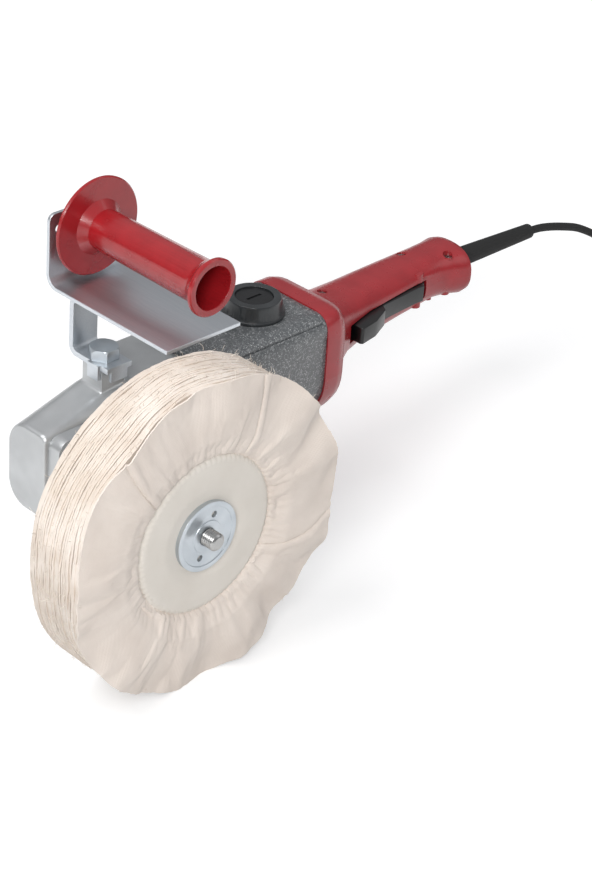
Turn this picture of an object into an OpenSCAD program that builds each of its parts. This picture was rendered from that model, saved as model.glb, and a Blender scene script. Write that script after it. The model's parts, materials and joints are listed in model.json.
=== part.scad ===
// Rotary polisher with a cloth buffing wheel, a bow bracket with a side handle,
// and a rear handle with a paddle trigger and a mains cord.
// Frame: the spindle runs along Y and points to -Y, the motor runs along +X, +Z is up.
// The origin is on the spindle's axis, at the front face of the flange nut.

/* [Buffing wheel] */
// Diameter of the cloth wheel
wheel_d = 250; // [200:5:252]
// Thickness of the cloth wheel at its rim
wheel_w = 55; // [40:1:66]
// How far the clamped middle of the wheel is pressed in, on each face
wheel_press = 5; // [2:0.5:8]
// Diameter of the pressed middle of the wheel
wheel_hub_d = 74; // [72:1:90]
// Diameter of the flange nut
nut_d = 56; // [44:1:64]
// Thickness of the flange nut
nut_t = 5; // [4:0.5:8]
// Pitch circle of the two pin spanner holes in the flange nut
spanner_pcd = 35; // [30:0.5:38]
// Diameter of the pin spanner holes
spanner_hole_d = 5; // [3:0.5:6]
// Diameter of the back flange
back_flange_d = 70; // [50:1:72]
// Thickness of the back flange
back_flange_t = 8; // [5:0.5:10]
// Length of the back flange's hub
back_hub_l = 14; // [10:1:18]

/* [Spindle and gears] */
// Diameter of the spindle's threaded nose
nose_d = 14; // [12:1:16]
// How far the spindle stands out of the flange nut
nose_out = 11; // [6:1:16]
// Diameter of the spindle's shaft in its front bearing
spindle_d = 17; // [16:0.5:20]
// Diameter of the spindle's end in its rear bearing
spindle_end_d = 12; // [10:0.5:14]
// Number of teeth on the crown gear
crown_teeth = 38; // [30:1:44]
// Number of teeth on the pinion
pinion_teeth = 11; // [9:1:13]
// Pitch radius of the crown gear at its rim
crown_r = 32; // [28:0.5:33]
// Share of the tooth pitch that each tooth fills
tooth_share = 0.37; // [0.3:0.01:0.38]
// Radius of the circle of holes that the spindle lock uses
lock_r = 19; // [17:0.5:21]
// Diameter of the spindle lock's pin
lock_pin_d = 5; // [4:0.5:6]
// Diameter of the spindle lock's button
lock_button_d = 20; // [16:1:24]
// Travel of the spindle lock
lock_travel = 6; // [4:0.5:7]

/* [Gear head] */
// Gap from the wheel's back to the gear housing's front face
head_gap = 76; // [66:1:90]
// Depth of the motor's axis behind the gear housing's front face
axis_depth = 21; // [19:1:24]
// Distance of the nose's end from the spindle's axis
head_nose = 42; // [41:1:50]
// Height of the gear housing at its nose
nose_h = 72; // [70:1:80]
// Depth of the gear housing at its nose
nose_depth = 43; // [41:1:48]
// Height of the gear housing at the motor
head_h = 104; // [98:1:108]
// Depth of the gear housing at the motor
head_w = 84; // [80:1:92]
// Where the gear housing meets the motor housing, along X
head_end = 97; // [94:1:106]
// Thickness of the gear housing's wall
head_wall = 4; // [3:0.5:5]
// Thickness of the bearing flange's plate
flange_t = 12; // [10:0.5:14]
// Length of the bearing flange's neck
flange_neck_l = 35; // [25:1:40]

/* [Motor] */
// Length of the motor housing
motor_l = 129; // [124:1:145]
// Height of the motor housing
motor_h = 112; // [108:1:118]
// Width of the motor housing, along the spindle
motor_w = 88; // [86:1:100]
// Corner radius of the motor housing
motor_r = 13; // [8:1:20]
// Thickness of the motor housing's wall
motor_wall = 3.5; // [2.5:0.5:4]
// Diameter of the armature shaft
shaft_d = 12; // [10:0.5:14]
// Diameter of the armature core
armature_d = 46; // [40:1:50]
// Length of the armature core and of the stator
core_l = 50; // [40:1:54]
// Radial gap between the armature and the stator
air_gap = 0.8; // [0.5:0.1:1.5]
// Outer diameter of the stator core
stator_d = 80; // [74:1:80]
// Diameter of the commutator
commutator_d = 28; // [24:1:32]
// Diameter of the cooling fan
fan_d = 70; // [60:1:74]
// Outer diameter of the brush boss
boss_d = 50; // [44:1:54]
// Height of the brush boss above the housing
boss_h = 15; // [10:1:18]
// Diameter of the brush cap
cap_d = 30; // [24:1:34]
// Width of a carbon brush
brush_w = 12; // [8:1:14]

/* [Rear handle] */
// Length of the collar that meets the motor housing
collar_l = 22; // [16:1:28]
// Length of the rear handle behind the motor housing
handle_l = 236; // [230:1:250]
// Half height of the grip
grip_hz = 23; // [21:0.5:26]
// Half depth of the grip in its middle
grip_hy = 25; // [23:0.5:28]
// Offset of the grip's axis behind the motor's axis
grip_offset = 28; // [22:1:32]
// Thickness of the handle shells
handle_wall = 3; // [2.5:0.25:3.5]
// Width of the trigger, along Z
trigger_w = 15; // [12:1:22]
// Clearance between the trigger and its slot
trigger_clear = 1; // [0.6:0.1:1.5]
// Diameter of the trigger's pin
trigger_pin_d = 5; // [4:0.5:6]
// Diameter of the handle screws
screw_d = 4; // [3:0.5:5]

/* [Bow bracket] */
// Width of the bow plate, along X
bow_w = 72; // [60:1:80]
// Length of the bow plate, along the spindle
bow_l = 133; // [120:1:140]
// Thickness of the bow plate
bow_t = 3; // [2.5:0.5:4]
// Height of the bow plate's top above the spindle's axis
bow_z = 118; // [105:1:122]
// Height of the upturned end above the bow plate
bow_up = 56; // [50:1:64]
// Inner radius of the bow plate's bend
bow_bend = 8; // [5:1:12]
// Width of the post and the foot
post_w = 24; // [22:1:30]
// Thickness of the post and the foot
post_t = 4.5; // [3:0.5:6]
// Length of the foot
foot_l = 44; // [40:1:50]
// Height of the boss that carries the foot
foot_boss_h = 15; // [12:1:18]
// Width across the flats of the bow bolt's head
bolt_af = 21; // [19:1:24]
// Diameter of the bow bolt's thread
bolt_d = 14; // [12:1:14]

/* [Side handle] */
// Length of the side handle, from its guard to its mouth
side_l = 127; // [110:1:130]
// Diameter of the side handle's guard
guard_d = 78; // [70:1:84]
// Diameter of the side handle's tube at the guard
side_root_d = 32; // [28:1:36]
// Diameter of the side handle's tube at the mouth
side_mouth_d = 38; // [34:1:42]
// Diameter of the lip round the side handle's mouth
side_lip_d = 45; // [40:1:50]
// Thickness of the side handle's wall
side_wall = 3; // [2:0.5:4]
// Gap between the guard and the bow plate
side_foot_l = 10; // [6:1:14]

/* [Cord] */
// Diameter of the cord
cord_d = 7.4; // [6:0.2:9]
// Length of the cord sleeve outside the handle
sleeve_l = 112; // [80:1:130]
// Diameter of the cord sleeve at the handle
sleeve_d = 17; // [14:0.5:20]
// Diameter of the coil of cord at the middle of its turns
coil_d = 82; // [76:2:100]

/* [Hidden] */
$fn = 64;
fine_fn = 96;
hull_fn = 32;
fit = 0.05;
gap = 0.3;
slip = 0.5;

// Stations along the spindle
wheel_core_front = nut_t;
wheel_front = nut_t - wheel_press;
wheel_back = wheel_front + wheel_w;
wheel_core_back = wheel_back - wheel_press;
hub_end = wheel_core_back + back_flange_t + back_hub_l;
head_front = wheel_back + head_gap;
axis_y = head_front + axis_depth;
flange_front = head_front - flange_t - flange_neck_l;
floor_z = -wheel_d / 2;

// Front spindle bearing
front_race_d = 36;
front_race_t = 11;
front_race_y = head_front - flange_t - 14;
// Rear spindle bearing
rear_race_d = 26;
rear_race_t = 8;
rear_race_y = axis_y + 8;

// Stations along the motor
wall_x0 = 46;
wall_x1 = 62;
motor_race_d = 32;
motor_race_t = 10;
fan_x = wall_x1 + 12;
fan_t = 14;
core_x = head_end + 5;
winding_l = 10;
brush_x = core_x + core_l + 34;
commutator_l = 24;
motor_end = head_end + motor_l;
end_race_d = 24;
end_race_t = 8;
end_race_x = motor_end - 16;
end_shaft_d = 8;
web_t = 6;

// Bevel gears: both share the apex where the two axes cross
pinion_cone = atan(pinion_teeth / crown_teeth);
crown_cone = 90 - pinion_cone;
cone_l = crown_r / sin(crown_cone);
gear_module = 2 * crown_r / crown_teeth;
face_share = 0.78;
pinion_phase = 0.75 * pinion_teeth - floor(0.75 * pinion_teeth);
tip_angle = atan(0.85 * gear_module / cone_l);
root_angle = atan(1.20 * gear_module / cone_l);
flank = 0.36;
gear_cavity_r = crown_r + 2;

// Foot, post and bolt
bolt_x = 32;
bolt_y = axis_y + 1;
foot_z = head_h / 2 - 2 + foot_boss_h;
foot_front = bolt_y - 18;
post_y = foot_front + foot_l;
bow_x0 = bolt_x - 19;
bow_cx = bow_x0 + bow_w / 2;
bow_back = post_y + 19;
bow_front = bow_back - bow_l;
bow_under = bow_z - bow_t;
head_t = 9;

// Side handle
side_z = bow_z + 42;
guard_y = bow_back - bow_t - side_foot_l;
mouth_y = guard_y - side_l;
side_bolt_d = 8;

// Rear handle: its axis leans away from the wheel towards its end
handle_x0 = motor_end;
handle_x1 = handle_x0 + handle_l;
lean = 0.05;
lean_x0 = 300;
function grip_y(x) = axis_y + grip_offset + lean * (x - lean_x0);

// Sections of the handle: place along X, centre, half depth, half height, squareness
collar_hy = motor_w / 2 + 1.5;
collar_hz = motor_h / 2 + 1.5;
waist_x = handle_x0 + collar_l + 20;
SECTIONS = [
    [handle_x0, axis_y, collar_hy, collar_hz, 7],
    [handle_x0 + collar_l * 0.6, axis_y, collar_hy, collar_hz, 7],
    [handle_x0 + collar_l, axis_y + 1, collar_hy - 1.5, collar_hz - 2, 6],
    [handle_x0 + collar_l + 8, axis_y + 7, collar_hy - 5, collar_hz - 11, 4.5],
    [waist_x, grip_y(waist_x) - 11, grip_hy + 11, grip_hz + 10, 3.6],
    [waist_x + 14, grip_y(waist_x) - 6, grip_hy + 8, grip_hz + 5, 3.2],
    [waist_x + 30, grip_y(waist_x) - 2, grip_hy + 4, grip_hz + 2, 3.0],
    [waist_x + 60, grip_y(waist_x + 60), grip_hy + 1, grip_hz, 2.8],
    [waist_x + 110, grip_y(waist_x + 110) + 2, grip_hy - 1, grip_hz - 0.5, 2.6],
    [handle_x1 - 36, grip_y(handle_x1 - 36) + 3, grip_hy - 2.5, grip_hz - 1.5, 2.5],
    [handle_x1 - 20, grip_y(handle_x1 - 20) + 1, grip_hy - 0.5, grip_hz - 1, 2.5],
    [handle_x1 - 9, grip_y(handle_x1) - 1.5, grip_hy + 3, grip_hz, 2.5],
    [handle_x1 - 4, grip_y(handle_x1) - 2, grip_hy + 2.5, grip_hz - 0.5, 2.4],
    [handle_x1, grip_y(handle_x1) - 1, grip_hy - 2, grip_hz - 4, 2.2]
];
end_wall = 8;
collar_low_e = 2.1;
arc_steps = 20;
function of_section(x, column) = lookup(x, [for (s = SECTIONS) [s[0], s[column]]]);
// Height of the handle's skin over a point of the parting plane
function skin_z(x, y) =
    let (hy = of_section(x, 2), hz = of_section(x, 3), e = of_section(x, 4),
         v = abs(y - of_section(x, 1)) / hy)
    hz * pow(1 - pow(v, e), 1 / e);
function power(v, e) = sign(v) * pow(abs(v), e);
function superellipse(hy, hz, e, a) = [hy * power(cos(a), 2 / e), hz * power(sin(a), 2 / e)];

// One closed profile of a half shell: the outer arc one way, the inner arc back
function in_end(s) = s[0] > handle_x1 - end_wall;
function inner_hy(s) = in_end(s) ? sleeve_d / 2 + fit : s[2] - handle_wall;
function inner_hz(s, low) = in_end(s) ? sleeve_d / 2 + fit : outer_hz(s, low) - handle_wall;
function inner_e(s, low) = in_end(s) ? 2 : outer_e(s, low);
function inner_c(s) = in_end(s) ? grip_y(s[0]) : s[1];
// The lower half's collar is round, as the motor is below its axis
function outer_hz(s, low) = low && s[0] < waist_x ? min(s[2], s[3]) : s[3];
function outer_e(s, low) = low && s[0] < waist_x ? collar_low_e : s[4];
function at_section(s, p, c) = [s[0], c + p[0], p[1]];
function half_profile(s, low) = concat(
    [for (i = [0 : arc_steps])
        at_section(s, superellipse(s[2], outer_hz(s, low), outer_e(s, low), 180 * i / arc_steps), s[1])],
    [for (i = [arc_steps : -1 : 0])
        at_section(s, superellipse(inner_hy(s), inner_hz(s, low), inner_e(s, low), 180 * i / arc_steps),
            inner_c(s))]
);
profile_n = 2 * (arc_steps + 1);

// Faces round a stack of rings of n points each, and the caps of a half shell
function side_faces(count, n) = [
    for (r = [0 : count - 2], i = [0 : n - 1])
        let (a = r * n + i, b = r * n + (i + 1) % n, c = b + n, d = a + n)
        each [[a, c, b], [a, d, c]]
];
function half_cap(base, last) = [
    for (i = [0 : arc_steps - 1])
        let (a = base + i, b = a + 1, d = base + profile_n - 1 - i, c = d - 1)
        each last ? [[a, c, b], [a, d, c]] : [[a, b, c], [a, c, d]]
];

// Trigger: a paddle that turns on a pin at its rear end
trigger_x1 = waist_x + 132;
trigger_l = 98;
trigger_x0 = trigger_x1 - trigger_l;
trigger_pin_y = axis_y + 18;
trigger_boss_r = 6.5;
slot_x0 = trigger_x0 - 6;
slot_x1 = trigger_x1 + trigger_boss_r + trigger_clear;
slot_y = trigger_pin_y + 1;

// Switch behind the trigger
switch_x0 = waist_x + 60;
switch_l = 44;
switch_y0 = trigger_pin_y + 7;
switch_w = 19;
switch_h = 18;
plunger_x = switch_x0 + 14;
plunger_d = 7;
plunger_tip_y = trigger_pin_y - 7 + plunger_d / 2 * 0.2 + 2 * gap;
rib_t = 3;

// Screws that close the handle: place in the parting plane
SCREWS = [[waist_x + 30, axis_y + 32], [handle_x1 - 55, axis_y + 44], [handle_x1 - 21, axis_y + 21]];
screw_head_d = 8;
screw_head_t = 3;
screw_sink = 2;
boss_wall = 2.5;

// Clamp that holds the cord inside the handle
clamp_x = handle_x1 - 42;
clamp_l = 9;
clamp_w = 26;
clamp_y = grip_y(clamp_x + clamp_l / 2);
clamp_deep = cord_d / 2 + 4;
clamp_top = 6.5;
clamp_pitch = 18;
clamp_screw_d = 3;

// Cord sleeve, and the cord's route from its tip to the floor
lean_angle = atan(lean);
sleeve_tip_d = cord_d + 6;
sleeve_root = [handle_x1 - end_wall, grip_y(handle_x1 - end_wall), 0];
sleeve_bend = [handle_x1 + 1.5, grip_y(handle_x1 + 1.5), 0];
droop = 3.5;
sleeve_way = [cos(lean_angle) * cos(droop), sin(lean_angle) * cos(droop), -sin(droop)];
sleeve_tip = sleeve_bend + sleeve_l * sleeve_way;
cord_turns = 4;
coil_r = coil_d / 2;
coil_half = cord_turns * cord_d / 2;
coil_at = [804, 138];
ROUTE = [
    [592, 194, -9], [610, 194, -13], [628, 193, -18], [645, 193, -24], [661, 193, -32],
    [676, 192, -41], [690, 192, -52], [703, 192, -64], [716, 192, -77], [730, 192, -90],
    [745, 192, -102], [762, 192, -111], [781, 191, -118], [800, 190, -121]
];
TAIL = [[851, 108, -99], [851, 97, -101], [851, 84, -103], [851, 72, -106], [851, 60, -107]];

// Mains plug, which lies beside the coil
plug_d = 36;
plug_l = 38;
plug_neck_l = 22;
plug_neck_d = 13;
plug_at = TAIL[4];
pin_d = 4.8;
pin_l = 19;
pin_spacing = 19;

// Brush springs
spring_wire = 0.9;
spring_turns = 5;
brush_l = 20;
brush_t = 8;
brush_z0 = commutator_d / 2 + gap;
boss_z0 = motor_h / 2;
cap_z1 = boss_z0 + boss_h;
cap_t = 9;
cap_inside = 3;
holder_wall = 1.2;
holder_z0 = brush_z0 + 3;

// Screws and small parts of the gear head
flange_w = 78;
flange_h = 70;
FLANGE_SCREWS = [for (sx = [-1, 1], sz = [-1, 1]) [sx * 30, sz * 26]];
flange_screw_d = 5;
flange_head_d = 8.5;
flange_head_t = 5;
MOTOR_SCREWS = [for (sy = [-1, 1], sz = [-1, 1]) [sy * 34.5, sz * 44.5]];
front_plate_t = 4;
long_screw_d = 5;
long_head_d = 8.5;
lock_boss_y = head_front + nose_depth + 10;
lock_sink = lock_travel + 3;
lock_proud = 3.5;
lock_rest_y = axis_y - 12 + lock_travel;

// ---- Shapes that repeat ----

// A round bar along Y, on the spindle's axis unless it is moved
module bar_y(y0, y1, d, x = 0, z = 0, f = $fn) {
    translate([x, y0, z]) rotate([-90, 0, 0]) cylinder(h = y1 - y0, d = d, $fn = f);
}

// A round bar along X, on the motor's axis unless it is moved
module bar_x(x0, x1, d, y = axis_y, z = 0) {
    translate([x0, y, z]) rotate([0, 90, 0]) cylinder(h = x1 - x0, d = d);
}

// A round bar along Z
module bar_z(z0, z1, d, x, y) {
    translate([x, y, z0]) cylinder(h = z1 - z0, d = d);
}

// A rectangle with true round corners, centred
module round_rect(w, h, r, f = hull_fn) {
    square([w - 2 * r, h], center = true);
    square([w, h - 2 * r], center = true);
    for (sx = [-1, 1], sy = [-1, 1]) translate([sx * (w / 2 - r), sy * (h / 2 - r)]) circle(r, $fn = f);
}

// A block along X with round edges: width along Y, height along Z
module block_x(x0, x1, y0, y1, h, r) {
    translate([x0, (y0 + y1) / 2, 0]) rotate([90, 0, 90]) linear_extrude(x1 - x0) round_rect(y1 - y0, h, r);
}

// A ring along Y
module ring_y(y0, y1, d_out, d_in) {
    difference() {
        bar_y(y0, y1, d_out);
        bar_y(y0 - 1, y1 + 1, d_in);
    }
}

// A ring along X, on the motor's axis
module ring_x(x0, x1, d_out, d_in) {
    difference() {
        bar_x(x0, x1, d_out);
        bar_x(x0 - 1, x1 + 1, d_in);
    }
}

// A ball bearing along Y or X, with a shallow recess between its rings on each face
module race_profile(d_out, d_in, t) {
    land = (d_out - d_in) / 2 * 0.3;
    dish = 0.6;
    difference() {
        translate([d_in / 2, 0]) square([(d_out - d_in) / 2, t]);
        translate([d_in / 2 + land, -1]) square([(d_out - d_in) / 2 - 2 * land, 1 + dish]);
        translate([d_in / 2 + land, t - dish]) square([(d_out - d_in) / 2 - 2 * land, 1 + dish]);
    }
}

// A tube swept along points, with rings square to the route
function unit(v) = v / norm(v);
function way(points, i) =
    unit(points[min(i + 1, len(points) - 1)] - points[max(i - 1, 0)]);
function tube_ring(points, i, r, sides, ref) =
    let (t = way(points, i), u = unit(cross(t, ref)), v = cross(t, u))
    [for (k = [0 : sides - 1]) points[i] + r * (cos(360 * k / sides) * u + sin(360 * k / sides) * v)];
module tube(points, r, sides, ref) {
    n = len(points);
    polyhedron(
        points = [for (i = [0 : n - 1]) each tube_ring(points, i, r, sides, ref)],
        faces = concat(
            [[for (k = [0 : sides - 1]) k]],
            side_faces(n, sides),
            [[for (k = [sides - 1 : -1 : 0]) (n - 1) * sides + k]]
        ),
        convexity = 6
    );
}

// Bevel teeth: a ring of points on a sphere round the apex, four to a tooth
function tooth_angles(teeth, cone) =
    let (pitch = 360 / teeth, half = pitch * tooth_share / 2,
         tip_cut = deg_of(flank * cone_l * tan(tip_angle), cone),
         root_add = deg_of(flank * cone_l * tan(root_angle), cone))
    [[-half - root_add, -root_angle], [-half + tip_cut, tip_angle],
     [half - tip_cut, tip_angle], [half + root_add, -root_angle]];
function deg_of(arc, cone) = arc / (cone_l * sin(cone)) * 180 / PI;
function on_sphere(share, cone, spin) =
    cone_l * share * [sin(cone) * cos(spin), sin(cone) * sin(spin), cos(cone)];
function tooth_ring(teeth, cone, share, phase) = [
    for (k = [0 : teeth - 1], p = tooth_angles(teeth, cone))
        on_sphere(share, cone + p[1], 360 * (k + phase) / teeth + p[0])
];
// The apex is the module's origin and the gear's axis is +Z
module bevel_teeth(teeth, cone, phase, inner_z, outer_z) {
    n = 4 * teeth;
    inner = tooth_ring(teeth, cone, face_share, phase);
    outer = tooth_ring(teeth, cone, 1, phase);
    polyhedron(
        points = concat(inner, outer, [[0, 0, inner_z], [0, 0, outer_z]]),
        faces = concat(
            side_faces(2, n),
            [for (i = [0 : n - 1]) [2 * n, i, (i + 1) % n]],
            [for (i = [0 : n - 1]) [2 * n + 1, n + (i + 1) % n, n + i]]
        ),
        convexity = 6
    );
}

// ---- Buffing wheel and its clamp ----

module cloth_wheel() {
    rim_round = 10;
    color("#E6DDD2") translate([0, wheel_front, 0]) rotate([-90, 0, 0]) difference() {
        rotate_extrude($fn = fine_fn) {
            square([wheel_d / 2 - rim_round, wheel_w]);
            translate([0, rim_round]) square([wheel_d / 2, wheel_w - 2 * rim_round]);
            for (h = [rim_round, wheel_w - rim_round])
                translate([wheel_d / 2 - rim_round, h]) circle(rim_round, $fn = hull_fn);
        }
        translate([0, 0, -1]) cylinder(h = wheel_w + 2, d = nose_d + 2 * slip);
        translate([0, 0, -1]) cylinder(h = wheel_press + 1, d = wheel_hub_d);
        translate([0, 0, wheel_w - wheel_press]) cylinder(h = wheel_press + 1, d = wheel_hub_d + 2);
    }
}

module flange_nut() {
    spanner_turn = 20;
    nose_clear = 0.5;
    dish = 1.2;
    rim = 4;
    color("#C9D0D8") difference() {
        bar_y(nose_clear, nut_t, nut_d);
        difference() {
            bar_y(-1, dish, nut_d - 2 * rim);
            bar_y(-2, dish + 1, nose_d + 12);
        }
        bar_y(-2, nut_t + 1, nose_d + 2 * fit);
        for (s = [-1, 1])
            bar_y(-1, nut_t + 1, spanner_hole_d, s * spanner_pcd / 2 * sin(spanner_turn),
                s * spanner_pcd / 2 * cos(spanner_turn));
    }
}

module back_flange() {
    color("#B9BEC4") difference() {
        union() {
            bar_y(wheel_core_back, wheel_core_back + back_flange_t, back_flange_d);
            bar_y(wheel_core_back, hub_end, spindle_d + 15);
        }
        bar_y(wheel_core_back - 1, hub_end + 1, nose_d + 2 * fit);
    }
}

module spindle() {
    chamfer = 1.5;
    relief = 0.5;
    color("#A8ABAF") {
        translate([0, -nose_out, 0]) rotate([-90, 0, 0])
            cylinder(h = chamfer, d1 = nose_d - 2 * chamfer, d2 = nose_d);
        bar_y(chamfer - nose_out, 0, nose_d);
        bar_y(-0.5, hub_end, nose_d - relief);
        bar_y(hub_end, rear_race_y - 2, spindle_d);
        bar_y(rear_race_y - 2, rear_race_y + rear_race_t, spindle_end_d);
    }
}

module crown_gear() {
    hub_d = spindle_d + 11;
    hub_y = head_front + 2;
    inner_z = face_share * cone_l * cos(crown_cone) + 1;
    outer_z = axis_y - hub_y - 3;
    color("#8D9094") difference() {
        union() {
            translate([0, axis_y, 0]) rotate([90, 0, 0])
                bevel_teeth(crown_teeth, crown_cone, 0.5, inner_z, outer_z);
            bar_y(hub_y, axis_y - inner_z + 1, hub_d);
        }
        bar_y(hub_y - 1, axis_y, spindle_d + 2 * fit);
        for (a = [0 : 30 : 330])
            bar_y(hub_y - 1, axis_y, lock_pin_d + 1, -lock_r * cos(a), lock_r * sin(a));
    }
}

module front_spindle_bearing() {
    color("#B4B7BB") translate([0, front_race_y, 0]) rotate([-90, 0, 0])
        rotate_extrude() race_profile(front_race_d, spindle_d + 2 * fit, front_race_t);
}

module rear_spindle_bearing() {
    color("#B4B7BB") translate([0, rear_race_y, 0]) rotate([-90, 0, 0])
        rotate_extrude() race_profile(rear_race_d, spindle_end_d + 2 * fit, rear_race_t);
}

module bearing_flange() {
    neck_d = 58;
    nose_l = 12;
    corner = 10;
    plate_y = head_front - flange_t;
    color("#A9ACAF") difference() {
        union() {
            translate([0, head_front, 0]) rotate([90, 0, 0]) linear_extrude(flange_t)
                round_rect(flange_w, flange_h, corner);
            bar_y(flange_front + nose_l, plate_y, neck_d);
            bar_y(flange_front, flange_front + nose_l, front_race_d + 8);
        }
        bar_y(flange_front - 1, front_race_y + 1, spindle_d + 2);
        bar_y(front_race_y, head_front + 1, front_race_d + 2 * fit);
        for (p = FLANGE_SCREWS) {
            bar_y(plate_y - 1, head_front + 1, flange_screw_d + 2 * slip, p[0], p[1]);
            bar_y(plate_y - 1, plate_y + flange_head_t, flange_head_d + 2 * slip, p[0], p[1]);
        }
    }
}

module bearing_flange_screws() {
    head_y = head_front - flange_t + flange_head_t;
    color("#6F7378") for (p = FLANGE_SCREWS) difference() {
        union() {
            bar_y(head_y - flange_head_t, head_y, flange_head_d, p[0], p[1]);
            bar_y(head_y, head_front + 9, flange_screw_d, p[0], p[1]);
        }
        bar_y(head_y - flange_head_t - 1, head_y - 2, 4, p[0], p[1], 6);
    }
}

// ---- Gear head ----

// The casting's outside: a nose that widens and rises towards the motor
module head_outside() {
    edge = 6;
    back_r = nose_depth / 2;
    mid_r = 14;
    mid_x0 = 22;
    mid_x1 = 40;
    mid_h = head_h - 10;
    mid_back = axis_y + head_w / 2 - 18;
    nose_back = head_front + nose_depth;
    hull() {
        for (x = [[-head_nose, 1.5], [-head_nose + 2.5, 0]]) {
            block_x(x[0], x[0] + 2, head_front + x[1], nose_back - back_r, nose_h - 2 * x[1], edge);
            for (s = [-1, 1])
                bar_x(x[0], x[0] + 2, 2 * (back_r - x[1]), nose_back - back_r, s * (nose_h / 2 - back_r));
        }
    }
    hull() {
        block_x(-head_nose + 4, -head_nose + 6, head_front, nose_back - back_r, nose_h, edge);
        for (s = [-1, 1])
            bar_x(-head_nose + 4, -head_nose + 6, 2 * back_r, nose_back - back_r, s * (nose_h / 2 - back_r));
        block_x(mid_x0, mid_x0 + 2, head_front, mid_back, mid_h, mid_r);
    }
    hull() {
        block_x(mid_x0 + 1, mid_x0 + 3, head_front, mid_back, mid_h, mid_r);
        block_x(mid_x1, mid_x1 + 2, head_front, mid_back + 2, mid_h + 3, mid_r);
    }
    hull() {
        block_x(mid_x1 + 1, mid_x1 + 3, head_front, mid_back + 2, mid_h + 3, mid_r);
        block_x(mid_x1 + 9, mid_x1 + 12, head_front, axis_y + head_w / 2, head_h, 9);
    }
    hull() {
        block_x(mid_x1 + 11, mid_x1 + 13, head_front, axis_y + head_w / 2, head_h, 9);
        block_x(head_end - 20, head_end, axis_y - head_w / 2, axis_y + head_w / 2, head_h, 9);
    }
}

module gear_housing() {
    boss_side = 22;
    pocket_d = 30;
    color("#B4B6B8") difference() {
        union() {
            head_outside();
            translate([bolt_x - boss_side / 2, bolt_y - boss_side / 2, head_h / 2 - 8])
                cube([boss_side, boss_side, foot_z - head_h / 2 + 8]);
            bar_z(-head_h / 2, -head_h / 2 + 10, boss_side + 2, bolt_x, bolt_y);
            bar_y(head_front + nose_depth - 6, lock_boss_y, lock_button_d + 8, -lock_r);
        }
        // Chamber of the crown gear, and the pinion's passage
        bar_y(head_front - 1, rear_race_y - 2, 2 * gear_cavity_r);
        bar_x(0, wall_x0 + 0.1, pocket_d);
        // Seats of the rear spindle bearing and the front armature bearing
        bar_y(rear_race_y - 3, rear_race_y + rear_race_t, rear_race_d + 2 * fit);
        bar_x(wall_x0 - 1, wall_x1, shaft_d + 4);
        bar_x(wall_x1 - motor_race_t - 4, wall_x1 + 1, motor_race_d + 2 * fit);
        // Fan chamber, open to the motor
        difference() {
            block_x(wall_x1, head_end + 1, axis_y - head_w / 2 + head_wall, axis_y + head_w / 2 - head_wall,
                head_h - 2 * head_wall - 2, 8);
            for (p = MOTOR_SCREWS) bar_x(head_end - 16, head_end + 1, long_screw_d + 6, axis_y + p[0], p[1]);
        }
        for (p = MOTOR_SCREWS) bar_x(head_end - 14, head_end + 1, long_screw_d + 2 * fit, axis_y + p[0], p[1]);
        // Threaded holes for the bow bolt, one above and one below
        bar_z(head_h / 2 - 23, foot_z + 1, bolt_d + 2 * fit, bolt_x, bolt_y);
        bar_z(-head_h / 2 - 1, -head_h / 2 + 20, bolt_d + 2 * fit, bolt_x, bolt_y);
        for (p = FLANGE_SCREWS) bar_y(head_front - 1, head_front + 12, flange_screw_d + 2 * fit, p[0], p[1]);
        // Spindle lock: the pin's bore and the button's recess
        bar_y(rear_race_y - 4, lock_boss_y, lock_pin_d + 2 * slip, -lock_r);
        bar_y(lock_boss_y - lock_sink, lock_boss_y + 1, lock_button_d + 2 * slip, -lock_r);
        // Air outlets behind the fan
        for (k = [0 : 3])
            translate([fan_x + k * 6 - 6, axis_y + head_w / 2 - head_wall - 1, -16])
                cube([3, head_wall + 2, 32]);
    }
}

module spindle_lock_button() {
    head_y0 = lock_boss_y + lock_proud - 6;
    color("#2B2C2E") {
        bar_y(lock_rest_y, head_y0 + 0.1, lock_pin_d, -lock_r);
        bar_y(head_y0, lock_boss_y + lock_proud, lock_button_d, -lock_r);
    }
}

// ---- Motor ----

module pinion() {
    hub_x = cone_l * cos(pinion_cone) - 1;
    inner_z = face_share * cone_l * cos(pinion_cone);
    hub_d = 2 * (cone_l * sin(pinion_cone) - 1.35 * gear_module);
    color("#85888C") difference() {
        union() {
            translate([0, axis_y, 0]) rotate([0, 90, 0])
                bevel_teeth(pinion_teeth, pinion_cone, pinion_phase, inner_z, hub_x + 2);
            bar_x(hub_x - 1, wall_x0 - 1, hub_d);
        }
        bar_x(0, wall_x0, end_shaft_d + 2 * fit);
    }
}

module armature_shaft() {
    color("#9EA1A5") {
        bar_x(face_share * cone_l * cos(pinion_cone) + 0.5, wall_x0, end_shaft_d);
        bar_x(wall_x0, end_race_x - 1, shaft_d);
        bar_x(end_race_x - 1, end_race_x + end_race_t, end_shaft_d);
    }
}

module armature_core() {
    slots = 12;
    color("#6A6C70") difference() {
        bar_x(core_x, core_x + core_l, armature_d);
        bar_x(core_x - 1, core_x + core_l + 1, shaft_d + 2 * fit);
        for (k = [0 : slots - 1]) translate([core_x - 1, axis_y, 0]) rotate([360 * k / slots, 0, 0])
            translate([0, armature_d / 2 - 3, -1.2]) cube([core_l + 2, 4, 2.4]);
    }
}

module armature_windings() {
    winding_d = armature_d - 6;
    color("#A5582F") for (x = [core_x - winding_l, core_x + core_l])
        ring_x(x, x + winding_l, winding_d, shaft_d + 2 * fit);
}

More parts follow.
